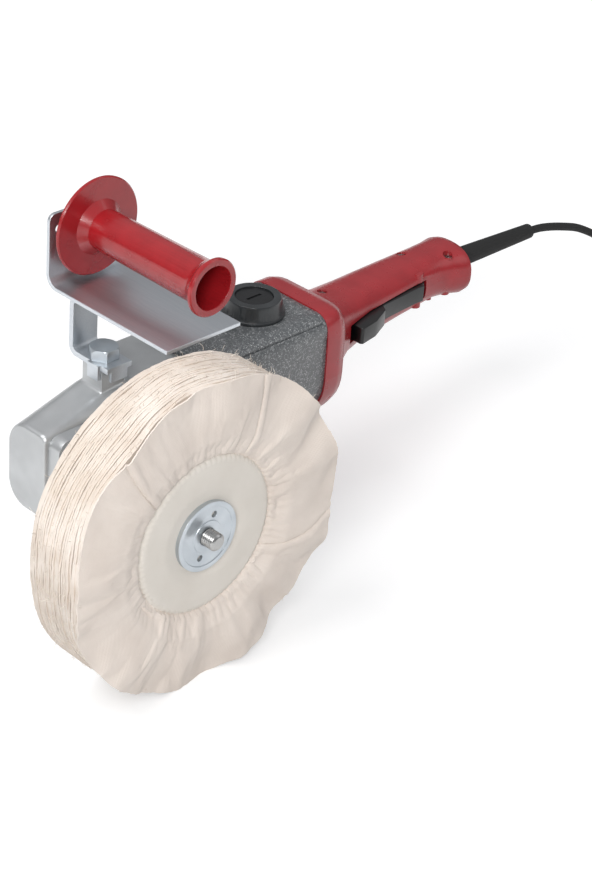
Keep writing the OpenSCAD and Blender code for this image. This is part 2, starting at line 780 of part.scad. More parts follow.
module commutator() {
    bars = 24;
    color("#B87333") difference() {
        bar_x(brush_x - commutator_l / 2, brush_x + commutator_l / 2, commutator_d);
        bar_x(brush_x - commutator_l, brush_x + commutator_l, shaft_d + 2 * fit);
        for (k = [0 : bars - 1])
            translate([brush_x - commutator_l / 2 - 1, axis_y, 0]) rotate([360 * (k + 0.5) / bars, 0, 0])
                translate([0, commutator_d / 2 - 0.8, -0.3]) cube([commutator_l + 2, 2, 0.6]);
    }
}

module cooling_fan() {
    blades = 14;
    hub_d = 24;
    plate_t = 2;
    color("#26282B") difference() {
        union() {
            bar_x(fan_x, fan_x + fan_t, hub_d);
            bar_x(fan_x, fan_x + plate_t, fan_d);
            for (k = [0 : blades - 1]) translate([fan_x + 0.5, axis_y, 0]) rotate([360 * k / blades, 0, 0])
                translate([0, hub_d / 2 - 1, -1]) cube([fan_t - 1, (fan_d - hub_d) / 2, 2]);
        }
        bar_x(fan_x - 1, fan_x + fan_t + 1, shaft_d + 2 * fit);
    }
}

module front_armature_bearing() {
    color("#B4B7BB") translate([wall_x1 - motor_race_t, axis_y, 0]) rotate([0, 90, 0])
        rotate_extrude() race_profile(motor_race_d, shaft_d + 2 * fit, motor_race_t);
}

module rear_armature_bearing() {
    color("#B4B7BB") translate([end_race_x, axis_y, 0]) rotate([0, 90, 0])
        rotate_extrude() race_profile(end_race_d, end_shaft_d + 2 * fit, end_race_t);
}

module bearing_retainer() {
    color("#9DA0A3") ring_x(wall_x1, wall_x1 + 3, motor_race_d + 10, motor_race_d - 8);
}

module air_baffle() {
    x0 = fan_x + fan_t + 2;
    w = head_w - 2 * head_wall - 2 * gap;
    h = head_h - 2 * head_wall - 2 - 2 * gap;
    color("#2A2B2D") difference() {
        block_x(x0, x0 + 2, axis_y - w / 2, axis_y + w / 2, h, 8 - gap);
        bar_x(x0 - 1, x0 + 3, armature_d + 4);
        for (p = MOTOR_SCREWS) bar_x(x0 - 1, x0 + 3, long_screw_d + 8, axis_y + p[0], p[1]);
    }
}

// Square above the motor's axis and round below it
module motor_section(inset, r) {
    intersection() {
        round_rect(motor_w - 2 * inset, motor_h - 2 * inset, r, fine_fn);
        translate([-motor_w, 0]) square([2 * motor_w, motor_h]);
    }
    circle(motor_w / 2 - inset, $fn = fine_fn);
}

module motor_housing() {
    web_x = end_race_x - 1;
    hole_d = cap_d + 6;
    vent_d = 10;
    color("#55585A") difference() {
        union() {
            translate([head_end, axis_y, 0]) rotate([90, 0, 90])
                linear_extrude(motor_l) motor_section(0, motor_r);
            block_x(head_end, head_end + front_plate_t, axis_y - motor_w / 2, axis_y + motor_w / 2,
                motor_h, motor_r);
            bar_z(-boss_z0, 0, boss_d, brush_x, axis_y);
        }
        translate([head_end - 1, axis_y, 0]) rotate([90, 0, 90])
            linear_extrude(web_x - head_end + 1) motor_section(motor_wall, motor_r - motor_wall);
        translate([web_x + web_t + 3, axis_y, 0]) rotate([90, 0, 90])
            linear_extrude(motor_l) motor_section(motor_wall, motor_r - motor_wall);
        bar_x(web_x - 1, end_race_x + end_race_t, end_race_d + 2 * fit);
        bar_z(-boss_z0 - 1, boss_z0 + 1, hole_d, brush_x, axis_y);
        for (p = MOTOR_SCREWS)
            bar_x(p[1] > 0 ? web_x - 1 : head_end - 1, p[1] > 0 ? motor_end : head_end + front_plate_t + 1,
                long_screw_d + 2 * slip, axis_y + p[0], p[1]);
        for (sy = [-1, 1], k = [-1 : 2]) bar_x(web_x - 1, motor_end, vent_d, axis_y + sy * 27, k * 14);
    }
}

module housing_screws() {
    web_back = end_race_x - 1 + web_t + 3;
    color("#6F7378") for (p = MOTOR_SCREWS) {
        head_x = p[1] > 0 ? web_back : head_end + front_plate_t;
        bar_x(head_end - 12, head_x, long_screw_d, axis_y + p[0], p[1]);
        bar_x(head_x, head_x + 4, long_head_d, axis_y + p[0], p[1]);
    }
}

// Sector of a ring round the motor's axis, centred on +Y or -Y
module ring_sector(x0, x1, r_out, r_in, half_angle, side) {
    translate([x0, axis_y, 0]) rotate([0, 90, 0]) rotate([0, 0, side * 90 - half_angle])
        rotate_extrude(angle = 2 * half_angle) translate([r_in, 0]) square([r_out - r_in, x1 - x0]);
}

module stator_core() {
    bore = armature_d + 2 * air_gap;
    color("#7A7D81") difference() {
        ring_x(core_x, core_x + core_l, stator_d, bore);
        for (side = [-1, 1])
            ring_sector(core_x - 1, core_x + core_l + 1, bore / 2 + 9, bore / 2 - 1, 34, side);
    }
}

module field_windings() {
    bore = armature_d + 2 * air_gap;
    color("#B4622F") for (side = [-1, 1])
        ring_sector(core_x - 5, core_x + core_l + 5, bore / 2 + 8.7, bore / 2 + 0.5, 33, side);
}

// Runs its children once above and once below the motor's axis
module above_and_below() {
    for (s = [0, 1]) mirror([0, 0, s]) children();
}

module brush_block(w, t, z0, z1) {
    translate([brush_x - t / 2, axis_y - w / 2, z0]) cube([t, w, z1 - z0]);
}

module brush_holders() {
    color("#B08D45") above_and_below() difference() {
        union() {
            brush_block(brush_w + 2 * holder_wall + 2 * gap, brush_t + 2 * holder_wall + 2 * gap,
                holder_z0, cap_z1 - cap_t - cap_inside);
            bar_z(boss_z0 - motor_wall, boss_z0, cap_d + 5.4, brush_x, axis_y);
        }
        brush_block(brush_w + 2 * gap, brush_t + 2 * gap, holder_z0 - 1, cap_z1);
    }
}

module carbon_brushes() {
    color("#2E2E30") above_and_below() brush_block(brush_w, brush_t, brush_z0, brush_z0 + brush_l);
}

module brush_springs() {
    z0 = brush_z0 + brush_l + spring_wire / 2;
    z1 = cap_z1 - cap_t - cap_inside - spring_wire / 2 - gap;
    steps = 8 * spring_turns;
    r = brush_t / 2 - spring_wire;
    helix = [for (i = [0 : steps])
        [brush_x + r * cos(45 * i), axis_y + r * sin(45 * i), z0 + (z1 - z0) * i / steps]];
    color("#C0C3C6") above_and_below() tube(helix, spring_wire / 2, 6, [0, 0, 1]);
}

module brush_boss() {
    lip_t = 2.5;
    ring_d = boss_d - 7;
    color("#2F3133") translate([brush_x, axis_y, boss_z0]) difference() {
        rotate_extrude($fn = fine_fn) {
            square([boss_d / 2, lip_t]);
            polygon([
                [0, lip_t - 0.1], [boss_d / 2 - 0.8, lip_t - 0.1], [ring_d / 2 + 0.8, boss_h - 3],
                [ring_d / 2, boss_h], [0, boss_h]
            ]);
        }
        translate([0, 0, boss_h - cap_t]) cylinder(h = cap_t + 1, d = cap_d + 2 * gap);
        translate([0, 0, -1]) cylinder(h = boss_h, d = cap_d - 4);
    }
}

module brush_cap() {
    slot_w = 2.4;
    slot_l = 15;
    color("#1F2022") translate([brush_x, axis_y, cap_z1 - cap_t + gap]) difference() {
        union() {
            cylinder(h = cap_t - 1.5, d = cap_d);
            translate([0, 0, -cap_inside]) cylinder(h = cap_inside + 1, d = cap_d - 6);
        }
        translate([-slot_l / 2, -slot_w / 2, cap_t - 3]) cube([slot_l, slot_w, 4]);
    }
}

// ---- Rear handle ----

module half_shell(low) {
    n = len(SECTIONS);
    polyhedron(
        points = [for (s = SECTIONS) each half_profile(s, low)],
        faces = concat(
            half_cap(0, false),
            side_faces(n, profile_n),
            half_cap((n - 1) * profile_n, true)
        ),
        convexity = 8
    );
}

module handle_half(upper) {
    rib_z = switch_h / 2 + fit;
    difference() {
        union() {
            half_shell(!upper);
            for (p = SCREWS) bar_z(0, skin_z(p[0], p[1]) - 1, screw_d + 2 * boss_wall, p[0], p[1]);
            for (x = [switch_x0 + 3, switch_x0 + switch_l - 3 - rib_t])
                translate([x, switch_y0 + 2, rib_z]) cube([rib_t, switch_w - 4, grip_hz - 3 - rib_z]);
            if (!upper) for (s = [-1, 1])
                bar_z(clamp_deep + fit, grip_hz - 3, 7, clamp_x + clamp_l / 2, clamp_y + s * clamp_pitch / 2);
        }
        translate([slot_x0, 0, -1]) cube([slot_x1 - slot_x0, slot_y, trigger_w / 2 + trigger_clear + 1]);
        bar_z(-1, trigger_w / 2 + 4, trigger_pin_d + 2 * fit, trigger_x1, trigger_pin_y);
        for (s = [-1, 1])
            bar_z(-1, clamp_deep + 6, clamp_screw_d + 2 * fit, clamp_x + clamp_l / 2,
                clamp_y + s * clamp_pitch / 2);
        for (p = SCREWS) {
            bar_z(-1, skin_z(p[0], p[1]) + 1, screw_d + 2 * fit, p[0], p[1]);
            if (upper)
                bar_z(skin_z(p[0], p[1]) - screw_head_t - screw_sink, 90, screw_head_d + slip, p[0], p[1]);
        }
    }
    // Posts that carry the trigger's pin
    intersection() {
        difference() {
            bar_z(trigger_w / 2 + 0.4, grip_hz - 1, trigger_pin_d + 5, trigger_x1, trigger_pin_y);
            bar_z(-1, trigger_w / 2 + 4, trigger_pin_d + 2 * fit, trigger_x1, trigger_pin_y);
        }
        translate([slot_x0, slot_y - 8, 0])
            cube([slot_x1 - slot_x0, 30, skin_z(trigger_x1, trigger_pin_y) - 1]);
    }
}

module upper_handle_shell() {
    color("#B4252B") handle_half(true);
}

module lower_handle_shell() {
    color("#B4252B") mirror([0, 0, 1]) handle_half(false);
}

module handle_screws() {
    color("#C4C7CA") for (p = SCREWS) {
        head_z = skin_z(p[0], p[1]) - screw_head_t - screw_sink;
        bar_z(-skin_z(p[0], p[1]) + 4, head_z + 1, screw_d, p[0], p[1]);
        difference() {
            bar_z(head_z, head_z + screw_head_t, screw_head_d, p[0], p[1]);
            for (a = [0, 90]) translate([p[0], p[1], head_z + screw_head_t - 1]) rotate([0, 0, a])
                translate([-1.9, -0.5, 0]) cube([3.8, 1, 2]);
        }
    }
}

// The paddle lies along -X from its pin; its block stands out at the front
module trigger() {
    bar_y0 = -8;
    block_y0 = -31;
    step_l = 40;
    outline = [
        [0, -trigger_boss_r - 3], [-8, bar_y0 - 1], [-trigger_l + step_l + 4, bar_y0 - 4.5],
        [-trigger_l + step_l, bar_y0 - 11], [-trigger_l + step_l / 2, block_y0 + 3],
        [-trigger_l + 2, block_y0], [-trigger_l, block_y0 + 2],
        [-trigger_l, -15], [-60, -7], [-8, 3], [0, trigger_boss_r]
    ];
    color("#1C1D1F") translate([trigger_x1, trigger_pin_y, -trigger_w / 2]) difference() {
        union() {
            linear_extrude(trigger_w) polygon(outline);
            cylinder(h = trigger_w, r = trigger_boss_r);
        }
        translate([0, 0, -1]) cylinder(h = trigger_w + 2, d = trigger_pin_d + 2 * fit);
    }
}

module trigger_pin() {
    half = trigger_w / 2 + 3.5;
    color("#A8ABAF") bar_z(-half, half, trigger_pin_d, trigger_x1, trigger_pin_y);
}

module switch_module() {
    color("#2B2C2F") difference() {
        translate([switch_x0, switch_y0, -switch_h / 2]) cube([switch_l, switch_w, switch_h]);
        bar_y(switch_y0 - 1, switch_y0 + switch_w - 3, plunger_d + 2 * gap, plunger_x);
    }
}

module switch_plunger() {
    stem = 9;
    color("#D8D5CC") bar_y(plunger_tip_y, switch_y0 + stem, plunger_d, plunger_x);
}

module cord_clamp() {
    color("#3A3C3F") difference() {
        translate([clamp_x, clamp_y - clamp_w / 2, -clamp_deep])
            cube([clamp_l, clamp_w, clamp_deep + clamp_top]);
        for (s = [-1, 1])
            bar_z(-20, 20, clamp_screw_d + 2 * fit, clamp_x + clamp_l / 2, clamp_y + s * clamp_pitch / 2);
        bar_x(clamp_x - 1, clamp_x + clamp_l + 1, cord_d + 2 * gap, clamp_y);
    }
}

module cord_clamp_screws() {
    x = clamp_x + clamp_l / 2;
    color("#B9BCC0") for (s = [-1, 1]) {
        bar_z(-clamp_deep - 5, clamp_top, clamp_screw_d, x, clamp_y + s * clamp_pitch / 2);
        bar_z(clamp_top, clamp_top + 2, clamp_screw_d + 2.5, x, clamp_y + s * clamp_pitch / 2);
    }
}

// ---- Cord ----

module cord_sleeve() {
    collar_t = 4;
    core_l = 38;
    color("#151617") {
        translate(sleeve_root) rotate([0, 0, lean_angle]) rotate([0, 90, 0]) {
            translate([0, 0, -collar_t]) cylinder(h = collar_t, d = sleeve_d + 4);
            cylinder(h = end_wall + 2, d = sleeve_d);
            translate([0, 0, -core_l]) cylinder(h = core_l, d = cord_d);
        }
        translate(sleeve_bend) rotate([0, droop, lean_angle]) rotate([0, 90, 0])
            cylinder(h = sleeve_l, d1 = sleeve_d + 1.2, d2 = sleeve_tip_d);
    }
}

module cord_lead() {
    color("#151617") tube(concat([sleeve_tip], ROUTE), cord_d / 2, 10, [0, 1, 0]);
}

module cord_coil() {
    edge = cord_d / 2;
    color("#151617") translate([coil_at[0], coil_at[1], floor_z]) rotate_extrude($fn = fine_fn)
        translate([coil_r, coil_half]) round_rect(2 * coil_half, 2 * coil_half, edge);
}

module cord_tail() {
    color("#151617") tube(TAIL, cord_d / 2, 10, [1, 0, 0]);
}

module plug_body() {
    color("#17181A") translate(plug_at) rotate([90, 0, 0]) {
        cylinder(h = plug_neck_l, d1 = cord_d + 3, d2 = plug_neck_d);
        translate([0, 0, plug_neck_l]) rotate_extrude($fn = fine_fn) polygon([
            [0, 0], [plug_neck_d / 2, 0], [plug_d / 2 - 3, plug_l * 0.4], [plug_d / 2, plug_l * 0.55],
            [plug_d / 2, plug_l - 1], [plug_d / 2 - 1, plug_l], [0, plug_l]
        ]);
    }
}

module plug_pins() {
    face = -plug_neck_l - plug_l;
    color("#C9CBCE") for (s = [-1, 1])
        translate(plug_at + [s * pin_spacing / 2, face, 0]) rotate([90, 0, 0]) {
            cylinder(h = pin_l - 1, d = pin_d);
            translate([0, 0, pin_l - 1]) cylinder(h = 1, d1 = pin_d, d2 = pin_d - 2);
        }
}

// ---- Bow bracket and side handle ----

module bow_plate() {
    corner = 6;
    outer_r = bow_bend + bow_t;
    color("#C3C8CD") difference() {
        translate([bow_x0, 0, 0]) rotate([90, 0, 90]) linear_extrude(bow_w) {
            translate([bow_front, bow_under]) square([bow_l - outer_r, bow_t]);
            translate([bow_back - bow_t, bow_under + outer_r]) square([bow_t, bow_up + bow_t - outer_r]);
            translate([bow_back - outer_r, bow_under + outer_r]) intersection() {
                difference() {
                    circle(outer_r);
                    circle(bow_bend);
                }
                translate([0, -outer_r]) square([outer_r, outer_r]);
            }
        }
        bar_y(bow_back - bow_t - 1, bow_back + 1, side_bolt_d + 1, bow_cx, side_z);
        for (s = [-1, 1]) bar_y(bow_back - bow_t - 1, bow_back + 1, 6, bow_cx + s * 27, side_z + 1);
        for (s = [-1, 1])
            translate([bow_cx + s * (bow_w / 2 - corner), 0, bow_z + bow_up - corner]) difference() {
                translate([s > 0 ? 0 : -corner - 1, bow_back - bow_t - 1, 0])
                    cube([corner + 1, bow_t + 2, corner + 1]);
                bar_y(bow_back - bow_t - 2, bow_back + 2, 2 * corner);
            }
    }
}

module bow_post() {
    bend_in = 4;
    bend_out = bend_in + post_t;
    x0 = bolt_x - post_w / 2;
    tab_l = 30;
    lug_t = 3;
    lug_h = 8;
    color("#B9BDC1") difference() {
        union() {
            translate([x0, 0, 0]) rotate([90, 0, 90]) linear_extrude(post_w) {
                translate([foot_front, foot_z]) square([foot_l - bend_out, post_t]);
                translate([post_y - post_t, foot_z + bend_out])
                    square([post_t, bow_under - foot_z - 2 * bend_out]);
                translate([post_y - tab_l, bow_under - post_t]) square([tab_l - bend_out, post_t]);
                for (m = [[foot_z + bend_out, -1], [bow_under - bend_out, 1]])
                    translate([post_y - bend_out, m[0]]) intersection() {
                        difference() {
                            circle(bend_out);
                            circle(bend_in);
                        }
                        translate([0, m[1] < 0 ? -bend_out : 0]) square([bend_out, bend_out]);
                    }
            }
            // Lugs that keep the foot from turning on its boss
            translate([x0 - lug_t + 0.5, foot_front + 8, foot_z - lug_h]) cube([lug_t, 12, lug_h + post_t]);
            translate([bolt_x - 8, foot_front, foot_z - lug_h]) cube([16, lug_t, lug_h + 1]);
        }
        bar_z(foot_z - 1, foot_z + post_t + 1, bolt_d + 2 * slip, bolt_x, bolt_y);
    }
}

module bow_bolt() {
    head_d = bolt_af / cos(30);
    z0 = foot_z + post_t;
    color("#A2A5A8") {
        bar_z(head_h / 2 - 20, z0, bolt_d, bolt_x, bolt_y);
        translate([bolt_x, bolt_y, z0]) intersection() {
            cylinder(h = head_t, d = head_d, $fn = 6);
            cylinder(h = head_t, d1 = head_d + 6, d2 = bolt_af + 0.6);
        }
    }
}

module side_handle() {
    foot_d = 26;
    guard_t = 3;
    lip_l = 10;
    bore_l = 26;
    color("#BE272E") translate([bow_cx, bow_back - bow_t, side_z]) rotate([90, 0, 0]) difference() {
        rotate_extrude($fn = fine_fn) {
            square([foot_d / 2, side_foot_l + 1]);
            translate([0, side_foot_l]) polygon([
                [0, 0], [guard_d / 2 - 1, 0], [guard_d / 2, 1], [guard_d / 2, guard_t - 1],
                [guard_d / 2 - 1, guard_t],
                [side_root_d / 2 + 6, guard_t + 1], [side_root_d / 2, guard_t + 7],
                [side_mouth_d / 2 - 2, side_l - lip_l - 2], [side_mouth_d / 2, side_l - lip_l + 2],
                [side_lip_d / 2, side_l - 3], [side_lip_d / 2, side_l - 1],
                [side_lip_d / 2 - 1, side_l], [0, side_l]
            ]);
        }
        translate([0, 0, side_foot_l + bore_l])
            cylinder(h = side_l - bore_l + 1, d1 = side_root_d - 2 * side_wall - 2,
                d2 = side_mouth_d - 2 * side_wall + 2);
        translate([0, 0, -1]) cylinder(h = bore_l, d = side_bolt_d + 2 * fit);
    }
}

module side_handle_bolt() {
    af = 13;
    t = 5.5;
    reach = 22;
    color("#A2A5A8") {
        bar_y(bow_back - bow_t - reach, bow_back + 1, side_bolt_d, bow_cx, side_z);
        bar_y(bow_back, bow_back + t, af / cos(30), bow_cx, side_z, 6);
    }
}

cloth_wheel();
flange_nut();
back_flange();
spindle();
crown_gear();
front_spindle_bearing();
rear_spindle_bearing();
bearing_flange();
bearing_flange_screws();
gear_housing();
spindle_lock_button();
pinion();
armature_shaft();
armature_core();
armature_windings();
commutator();
cooling_fan();
front_armature_bearing();
rear_armature_bearing();
bearing_retainer();
air_baffle();
motor_housing();
housing_screws();
stator_core();
field_windings();
brush_holders();
carbon_brushes();
brush_springs();
brush_boss();  // top_brush_boss
mirror([0, 0, 1]) brush_boss();  // bottom_brush_boss
brush_cap();  // top_brush_cap
mirror([0, 0, 1]) brush_cap();  // bottom_brush_cap
upper_handle_shell();
lower_handle_shell();
handle_screws();
trigger();
trigger_pin();
switch_module();
switch_plunger();
cord_clamp();
cord_clamp_screws();
cord_sleeve();
cord_lead();
cord_coil();
cord_tail();
plug_body();
plug_pins();
bow_plate();
bow_post();
bow_bolt();
side_handle();
side_handle_bolt();
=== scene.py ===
"""Looks of a rotary polisher: a cloth buffing wheel, a bow bracket with a side handle,
a hammer-finished motor and a red rear handle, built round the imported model."""

from __future__ import annotations

import json
import logging
import math
import random
from dataclasses import dataclass, field
from enum import Enum

import bpy
from mathutils import Matrix, Vector, noise

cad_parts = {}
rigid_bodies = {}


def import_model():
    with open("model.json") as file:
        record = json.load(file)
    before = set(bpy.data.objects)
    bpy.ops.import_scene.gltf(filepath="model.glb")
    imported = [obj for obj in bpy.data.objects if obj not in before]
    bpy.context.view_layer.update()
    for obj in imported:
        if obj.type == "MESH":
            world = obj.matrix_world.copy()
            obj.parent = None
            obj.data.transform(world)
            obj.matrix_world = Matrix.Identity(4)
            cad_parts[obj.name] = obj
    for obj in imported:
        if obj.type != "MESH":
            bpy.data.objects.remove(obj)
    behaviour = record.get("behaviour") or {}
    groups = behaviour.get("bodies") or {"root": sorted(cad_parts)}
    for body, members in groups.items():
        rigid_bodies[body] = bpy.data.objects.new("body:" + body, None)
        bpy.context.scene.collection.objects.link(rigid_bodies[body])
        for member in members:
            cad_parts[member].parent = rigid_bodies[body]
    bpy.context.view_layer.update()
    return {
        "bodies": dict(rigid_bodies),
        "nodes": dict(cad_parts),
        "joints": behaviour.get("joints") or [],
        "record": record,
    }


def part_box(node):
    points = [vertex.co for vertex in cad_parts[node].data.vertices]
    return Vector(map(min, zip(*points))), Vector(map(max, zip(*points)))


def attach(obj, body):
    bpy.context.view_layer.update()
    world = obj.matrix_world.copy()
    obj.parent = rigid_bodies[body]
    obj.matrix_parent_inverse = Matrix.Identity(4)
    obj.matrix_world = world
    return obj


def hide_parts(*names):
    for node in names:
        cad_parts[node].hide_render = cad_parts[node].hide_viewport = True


LOG = logging.getLogger("polisher")
MM = 0.001
MACHINE = "machine"
SPINDLE = "spindle"
# A Wave texture of scale 1 repeats every 2 pi / 20 m, so this over a width in mm is its scale
WAVES_PER_MM = 314


# ---- Colours and finishes ----


def linear(hex_colour: str) -> tuple[float, float, float, float]:
    """Turns an sRGB hex colour into the linear values that a shader takes.

    Args:
        hex_colour: The colour, such as "#AA3322".

    Returns:
        Red, green, blue and an alpha of 1.
    """
    parts = [int(hex_colour[i : i + 2], 16) / 255 for i in (1, 3, 5)]
    light = [c / 12.92 if c <= 0.04045 else ((c + 0.055) / 1.055) ** 2.4 for c in parts]
    return light[0], light[1], light[2], 1.0


def add(
    tree: bpy.types.NodeTree, kind: str, settings: dict | None = None, links: dict | None = None
) -> bpy.types.Node:
    """Adds a node to a material.

    Args:
        tree: The node tree.
        kind: The node's type, such as "ShaderNodeTexNoise".
        settings: Values of the node's own properties.
        links: Input name or number to a socket that feeds it, or to its value.

    Returns:
        The new node.
    """
    made = tree.nodes.new(kind)
    for key, value in (settings or {}).items():
        setattr(made, key, value)
    for key, value in (links or {}).items():
        if isinstance(value, bpy.types.NodeSocket):
            tree.links.new(value, made.inputs[key])
        else:
            made.inputs[key].default_value = value
    return made


class Pattern(Enum):
    """How a surface was made, which sets its pattern."""

    MOULDED = "moulded"
    CAST = "cast"
    HAMMERED = "hammered"
    BRUSHED = "brushed"
    WOVEN = "woven"
    WOUND = "wound"


@dataclass(frozen=True)
class Finish:
    """One real finish: its colours, its gloss and the pattern that making it left."""

    name: str
    base: str
    tint: str
    pattern: Pattern
    size_mm: float
    relief_mm: float
    roughness: float
    metallic: float = 0.0
    coat: float = 0.0
    sheen: float = 0.0
    ior: float = 1.5
    stretch: tuple[float, float, float] = (1.0, 1.0, 1.0)
    strength: float = 0.5

    def material(self) -> bpy.types.Material:
        """Makes the finish's material, if it isn't made already.

        Returns:
            The material.
        """
        ready = bpy.data.materials.get(self.name)
        if ready:
            return ready
        made = bpy.data.materials.new(self.name)
        made.use_nodes = True
        tree = made.node_tree
        shader = tree.nodes["Principled BSDF"]
        place = add(tree, "ShaderNodeTexCoord").outputs["Object"]
        place = add(
            tree, "ShaderNodeMapping", links={"Vector": place, "Scale": self.stretch}
        ).outputs["Vector"]
        share, height = self.marks(tree, place)
        colour = add(
            tree,
            "ShaderNodeMix",
            {"data_type": "RGBA"},
            {0: share, 6: linear(self.base), 7: linear(self.tint)},
        ).outputs[2]
        worn = add(
            tree,
            "ShaderNodeTexNoise",
            links={"Vector": place, "Scale": 1000 / 18, "Detail": 3.0},
        ).outputs["Fac"]
        rough = add(
            tree,
            "ShaderNodeMapRange",
            links={
                "Value": worn,
                "From Min": 0.3,
                "From Max": 0.7,
                "To Min": max(self.roughness - 0.05, 0.03),
                "To Max": self.roughness + 0.05,
            },
        ).outputs["Result"]
        bump = add(
            tree,
            "ShaderNodeBump",
            links={"Height": height, "Strength": self.strength, "Distance": self.relief_mm * MM},
        ).outputs["Normal"]
        tree.links.new(colour, shader.inputs["Base Color"])
        tree.links.new(rough, shader.inputs["Roughness"])
        tree.links.new(bump, shader.inputs["Normal"])
        shader.inputs["Metallic"].default_value = self.metallic
        shader.inputs["Coat Weight"].default_value = self.coat
        shader.inputs["Sheen Weight"].default_value = self.sheen
        shader.inputs["IOR"].default_value = self.ior
        return made

    def marks(
        self, tree: bpy.types.NodeTree, place: bpy.types.NodeSocket
    ) -> tuple[bpy.types.NodeSocket, bpy.types.NodeSocket]:
        """Adds the pattern.

        Args:
            tree: The material's node tree.
            place: The coordinates that it reads.

        Returns:
            The share of the tint, from 0 to 1, and the height of the relief.
        """
        if self.pattern is Pattern.HAMMERED:
            return self.hammered(tree, place)
        if self.pattern is Pattern.WOVEN:
            return self.woven(tree, place)
        if self.pattern is Pattern.WOUND:
            wave = add(
                tree,
                "ShaderNodeTexWave",
                {"bands_direction": "Z"},
                {"Vector": place, "Scale": WAVES_PER_MM / self.size_mm, "Distortion": 0.4},
            ).outputs["Fac"]
            return wave, wave
        grain = add(
            tree,
            "ShaderNodeTexNoise",
            links={"Vector": place, "Scale": 1000 / self.size_mm, "Detail": 4.0},
        ).outputs["Fac"]
        cloud = add(
            tree,
            "ShaderNodeTexNoise",
            links={"Vector": place, "Scale": 1000 / (self.size_mm * 30), "Detail": 2.0},
        ).outputs["Fac"]
        source = grain if self.pattern is Pattern.BRUSHED else cloud
        share = add(
            tree,
            "ShaderNodeMapRange",
            links={"Value": source, "From Min": 0.35, "From Max": 0.65},
        ).outputs["Result"]
        return share, grain

    def hammered(
        self, tree: bpy.types.NodeTree, place: bpy.types.NodeSocket
    ) -> tuple[bpy.types.NodeSocket, bpy.types.NodeSocket]:
        """Adds the dimples and pale flecks of hammer paint.

        Args:
            tree: The material's node tree.
            place: The coordinates that it reads.

        Returns:
            The share of the pale flecks and the height of the dimples.
        """
        swirl = add(
            tree,
            "ShaderNodeTexNoise",
            links={
                "Vector": place,
                "Scale": 1000 / self.size_mm,
                "Detail": 3.0,
                "Roughness": 0.6,
                "Distortion": 1.2,
            },
        ).outputs["Fac"]
        veins = add(
            tree,
            "ShaderNodeMapRange",
            links={"Value": swirl, "From Min": 0.50, "From Max": 0.72, "To Max": 0.55},
        ).outputs["Result"]
        cells = add(
            tree,
            "ShaderNodeTexVoronoi",
            links={"Vector": place, "Scale": 1000 / (self.size_mm * 0.75)},
        )
        near = add(
            tree,
            "ShaderNodeMapRange",
            links={
                "Value": cells.outputs["Distance"],
                "From Min": 0.16,
                "From Max": 0.34,
                "To Min": 1.0,
                "To Max": 0.0,
            },
        ).outputs["Result"]
        chosen = add(
            tree,
            "ShaderNodeMath",
            {"operation": "GREATER_THAN"},
            {0: cells.outputs["Color"], 1: 0.62},
        ).outputs["Value"]
        flecks = add(
            tree, "ShaderNodeMath", {"operation": "MULTIPLY"}, {0: near, 1: chosen}
        ).outputs["Value"]
        share = add(
            tree, "ShaderNodeMath", {"operation": "ADD", "use_clamp": True}, {0: veins, 1: flecks}
        ).outputs["Value"]
        return share, swirl

    def woven(
        self, tree: bpy.types.NodeTree, place: bpy.types.NodeSocket
    ) -> tuple[bpy.types.NodeSocket, bpy.types.NodeSocket]:
        """Adds the two threads of a plain weave.

        Args:
            tree: The material's node tree.
            place: The coordinates that it reads.

        Returns:
            The share of the darker cotton and the height of the threads.
        """
        threads = [
            add(
                tree,
                "ShaderNodeTexWave",
                {"bands_direction": way},
                {
                    "Vector": place,
                    "Scale": WAVES_PER_MM / self.size_mm,
                    "Distortion": 1.5,
                    "Detail": 1.0,
                },
            ).outputs["Fac"]
            for way in ("X", "Z")
        ]
        weave = add(
            tree, "ShaderNodeMath", {"operation": "MULTIPLY"}, {0: threads[0], 1: threads[1]}
        ).outputs["Value"]
        cloud = add(
            tree,
            "ShaderNodeTexNoise",
            links={"Vector": place, "Scale": 1000 / 40, "Detail": 5.0, "Roughness": 0.6},
        ).outputs["Fac"]
        patch = add(
            tree,
            "ShaderNodeMapRange",
            links={"Value": cloud, "From Min": 0.35, "From Max": 0.75, "To Max": 0.75},
        ).outputs["Result"]
        share = add(
            tree,
            "ShaderNodeMath",
            {"operation": "MULTIPLY_ADD", "use_clamp": True},
            {0: weave, 1: 0.18, 2: patch},
        ).outputs["Value"]
        return share, weave


